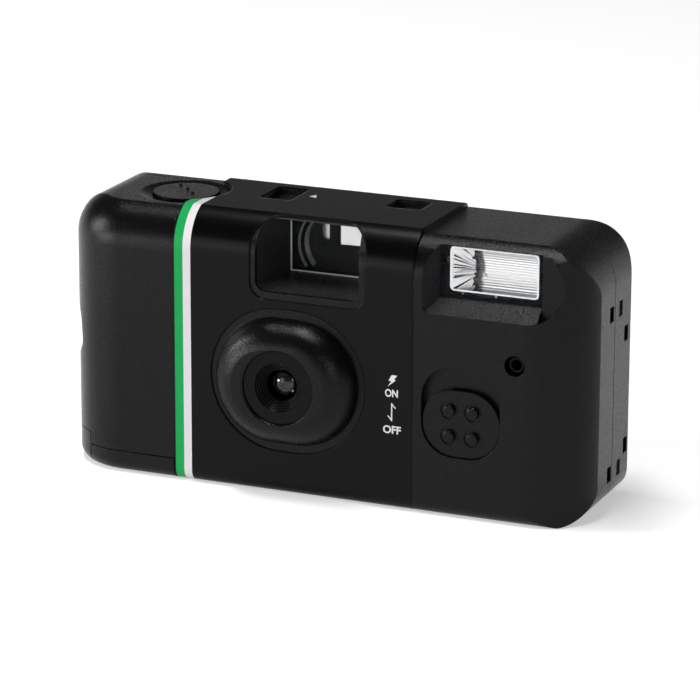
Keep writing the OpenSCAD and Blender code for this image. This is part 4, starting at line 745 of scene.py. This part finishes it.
# %% Finder lens rims
rim_clear = plastic("rim_clear", (0.30, 0.31, 0.32), rough=0.25, gloss=0.5, grain=0.5, depth=0.004, mottle=0.3)
RIMS = ((7.4, 0.1, 0.8), (6.4, 0.9, 1.6))
RIM_THICK, RIM_CUT = 0.22 * MM, 0.95 * MM
finder_middle = (FINDER_LOW + FINDER_HIGH) / 2
for number, (radius, back, length) in enumerate(RIMS):
    tube = bmesh.new()
    inner_r, outer_r = radius * MM, radius * MM + RIM_THICK
    near, far = FINDER_HIGH.y + back * MM, FINDER_HIGH.y + back * MM + length * MM
    corners = [tube.verts.new((finder_middle.x + r, y, finder_middle.z)) for r, y in
               ((inner_r, near), (outer_r, near), (outer_r, far), (inner_r, far))]
    section = [tube.edges.new(pair) for pair in zip(corners, corners[1:] + corners[:1])]
    bmesh.ops.spin(tube, geom=corners + section, cent=finder_middle, axis=(0, 1, 0), angle=2 * math.pi, steps=96,
                   use_merge=True)
    for level, side in ((FINDER_LOW.z + RIM_CUT, -1), (FINDER_HIGH.z - RIM_CUT, 1)):
        bmesh.ops.bisect_plane(tube, geom=tube.verts[:] + tube.edges[:] + tube.faces[:], plane_co=(0, 0, level),
                               plane_no=(0, 0, side), clear_outer=True)
        bmesh.ops.holes_fill(tube, edges=[e for e in tube.edges if e.is_boundary])
    make_piece("finder_lens_rim_%d" % number, tube, rim_clear, "camera")

# %% [markdown]
# ## Bright wall beside the eyepiece
# A bright upright strip shows on the left wall of the finder's tunnel, just before the eyepiece. A lamp
# that reaches down the tunnel would light everything else too. So a thin polished plate lies on the
# wall and mirrors the pale surroundings. The wall slants, so the plate's two ends take their X from it.

# %% Finder wall strip
EYE_LOW, EYE_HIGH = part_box("finder_eyepiece")
GLEAM_NEAR, GLEAM_FAR, GLEAM_BELOW, GLEAM_ABOVE = 4.9 * MM, 2.9 * MM, 1.7 * MM, 1.3 * MM
GLEAM_CORNER, GLEAM_THICK = 0.5 * MM, 0.08
WALL_IN_NEAR, WALL_IN_FAR, WALL_SHORT = 0.95 * MM, 1.05 * MM, 0.1 * MM
near_x, far_x = FINDER_LOW.x + WALL_IN_NEAR, EYE_LOW.x + WALL_IN_FAR
near_y, far_y = FINDER_HIGH.y, EYE_LOW.y - WALL_SHORT
gleam_y = (far_y - GLEAM_NEAR, far_y - GLEAM_FAR)
gleam_x = [near_x + (far_x - near_x) * (y - near_y) / (far_y - near_y) for y in gleam_y]
gleam_z = (EYE_LOW.z + GLEAM_BELOW, EYE_HIGH.z - GLEAM_ABOVE)
gleam = bmesh.new()
bmesh.ops.create_grid(gleam, x_segments=1, y_segments=1, size=1)
for point in gleam.verts:
    end, high = point.co.x > 0, point.co.y > 0
    point.co = (gleam_x[end], gleam_y[end], gleam_z[high])
bmesh.ops.bevel(gleam, geom=gleam.verts[:], offset=GLEAM_CORNER, offset_type="OFFSET", segments=4, profile=0.5,
                affect="VERTICES", material=-1)
thicken(gleam, gleam.faces[:], (GLEAM_THICK, 0, 0))
make_piece("finder_wall_gleam", gleam, bright_foil, "camera")

# %% [markdown]
# ## The taking lens
# The lens is a small moulded meniscus with a strongly curved front, so that it mirrors the whole room:
# the lamps above, the pale floor below. Part of a sphere would need a back and a flange of its own. A
# few profile points, spun about the axis, give all of it at once.

# %% Lens
LENS_LOW, LENS_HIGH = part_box("taking_lens")
lens_axis = (LENS_LOW + LENS_HIGH) / 2
lens_r, lens_deep = (LENS_HIGH.x - LENS_LOW.x) / 2, LENS_HIGH.y - LENS_LOW.y
SAG, BOWL, CURVE_STEPS = 1.4 * MM, 2.95 * MM, 16
BACK_R, BACK_HOLLOW = 2.0 * MM, 0.25 * MM
curve_r = (BOWL * BOWL + SAG * SAG) / (2 * SAG)
profile = [(0.0, 0.0)]
for step in range(1, CURVE_STEPS + 1):
    out_r = BOWL * step / CURVE_STEPS
    profile.append((out_r, curve_r - math.sqrt(curve_r * curve_r - out_r * out_r)))
profile += [(lens_r, SAG), (lens_r, lens_deep), (BACK_R, lens_deep), (0.0, lens_deep - BACK_HOLLOW)]
glass = bmesh.new()
points = [glass.verts.new((lens_axis.x + r, LENS_LOW.y + y, lens_axis.z)) for r, y in profile]
edges = [glass.edges.new(pair) for pair in zip(points, points[1:])]
bmesh.ops.spin(glass, geom=points + edges, cent=lens_axis, axis=(0, 1, 0), angle=2 * math.pi, steps=64,
               use_merge=True)
lens_piece = make_piece("lens_glass", glass, lens_clear, "camera", smooth=True)
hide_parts("taking_lens")
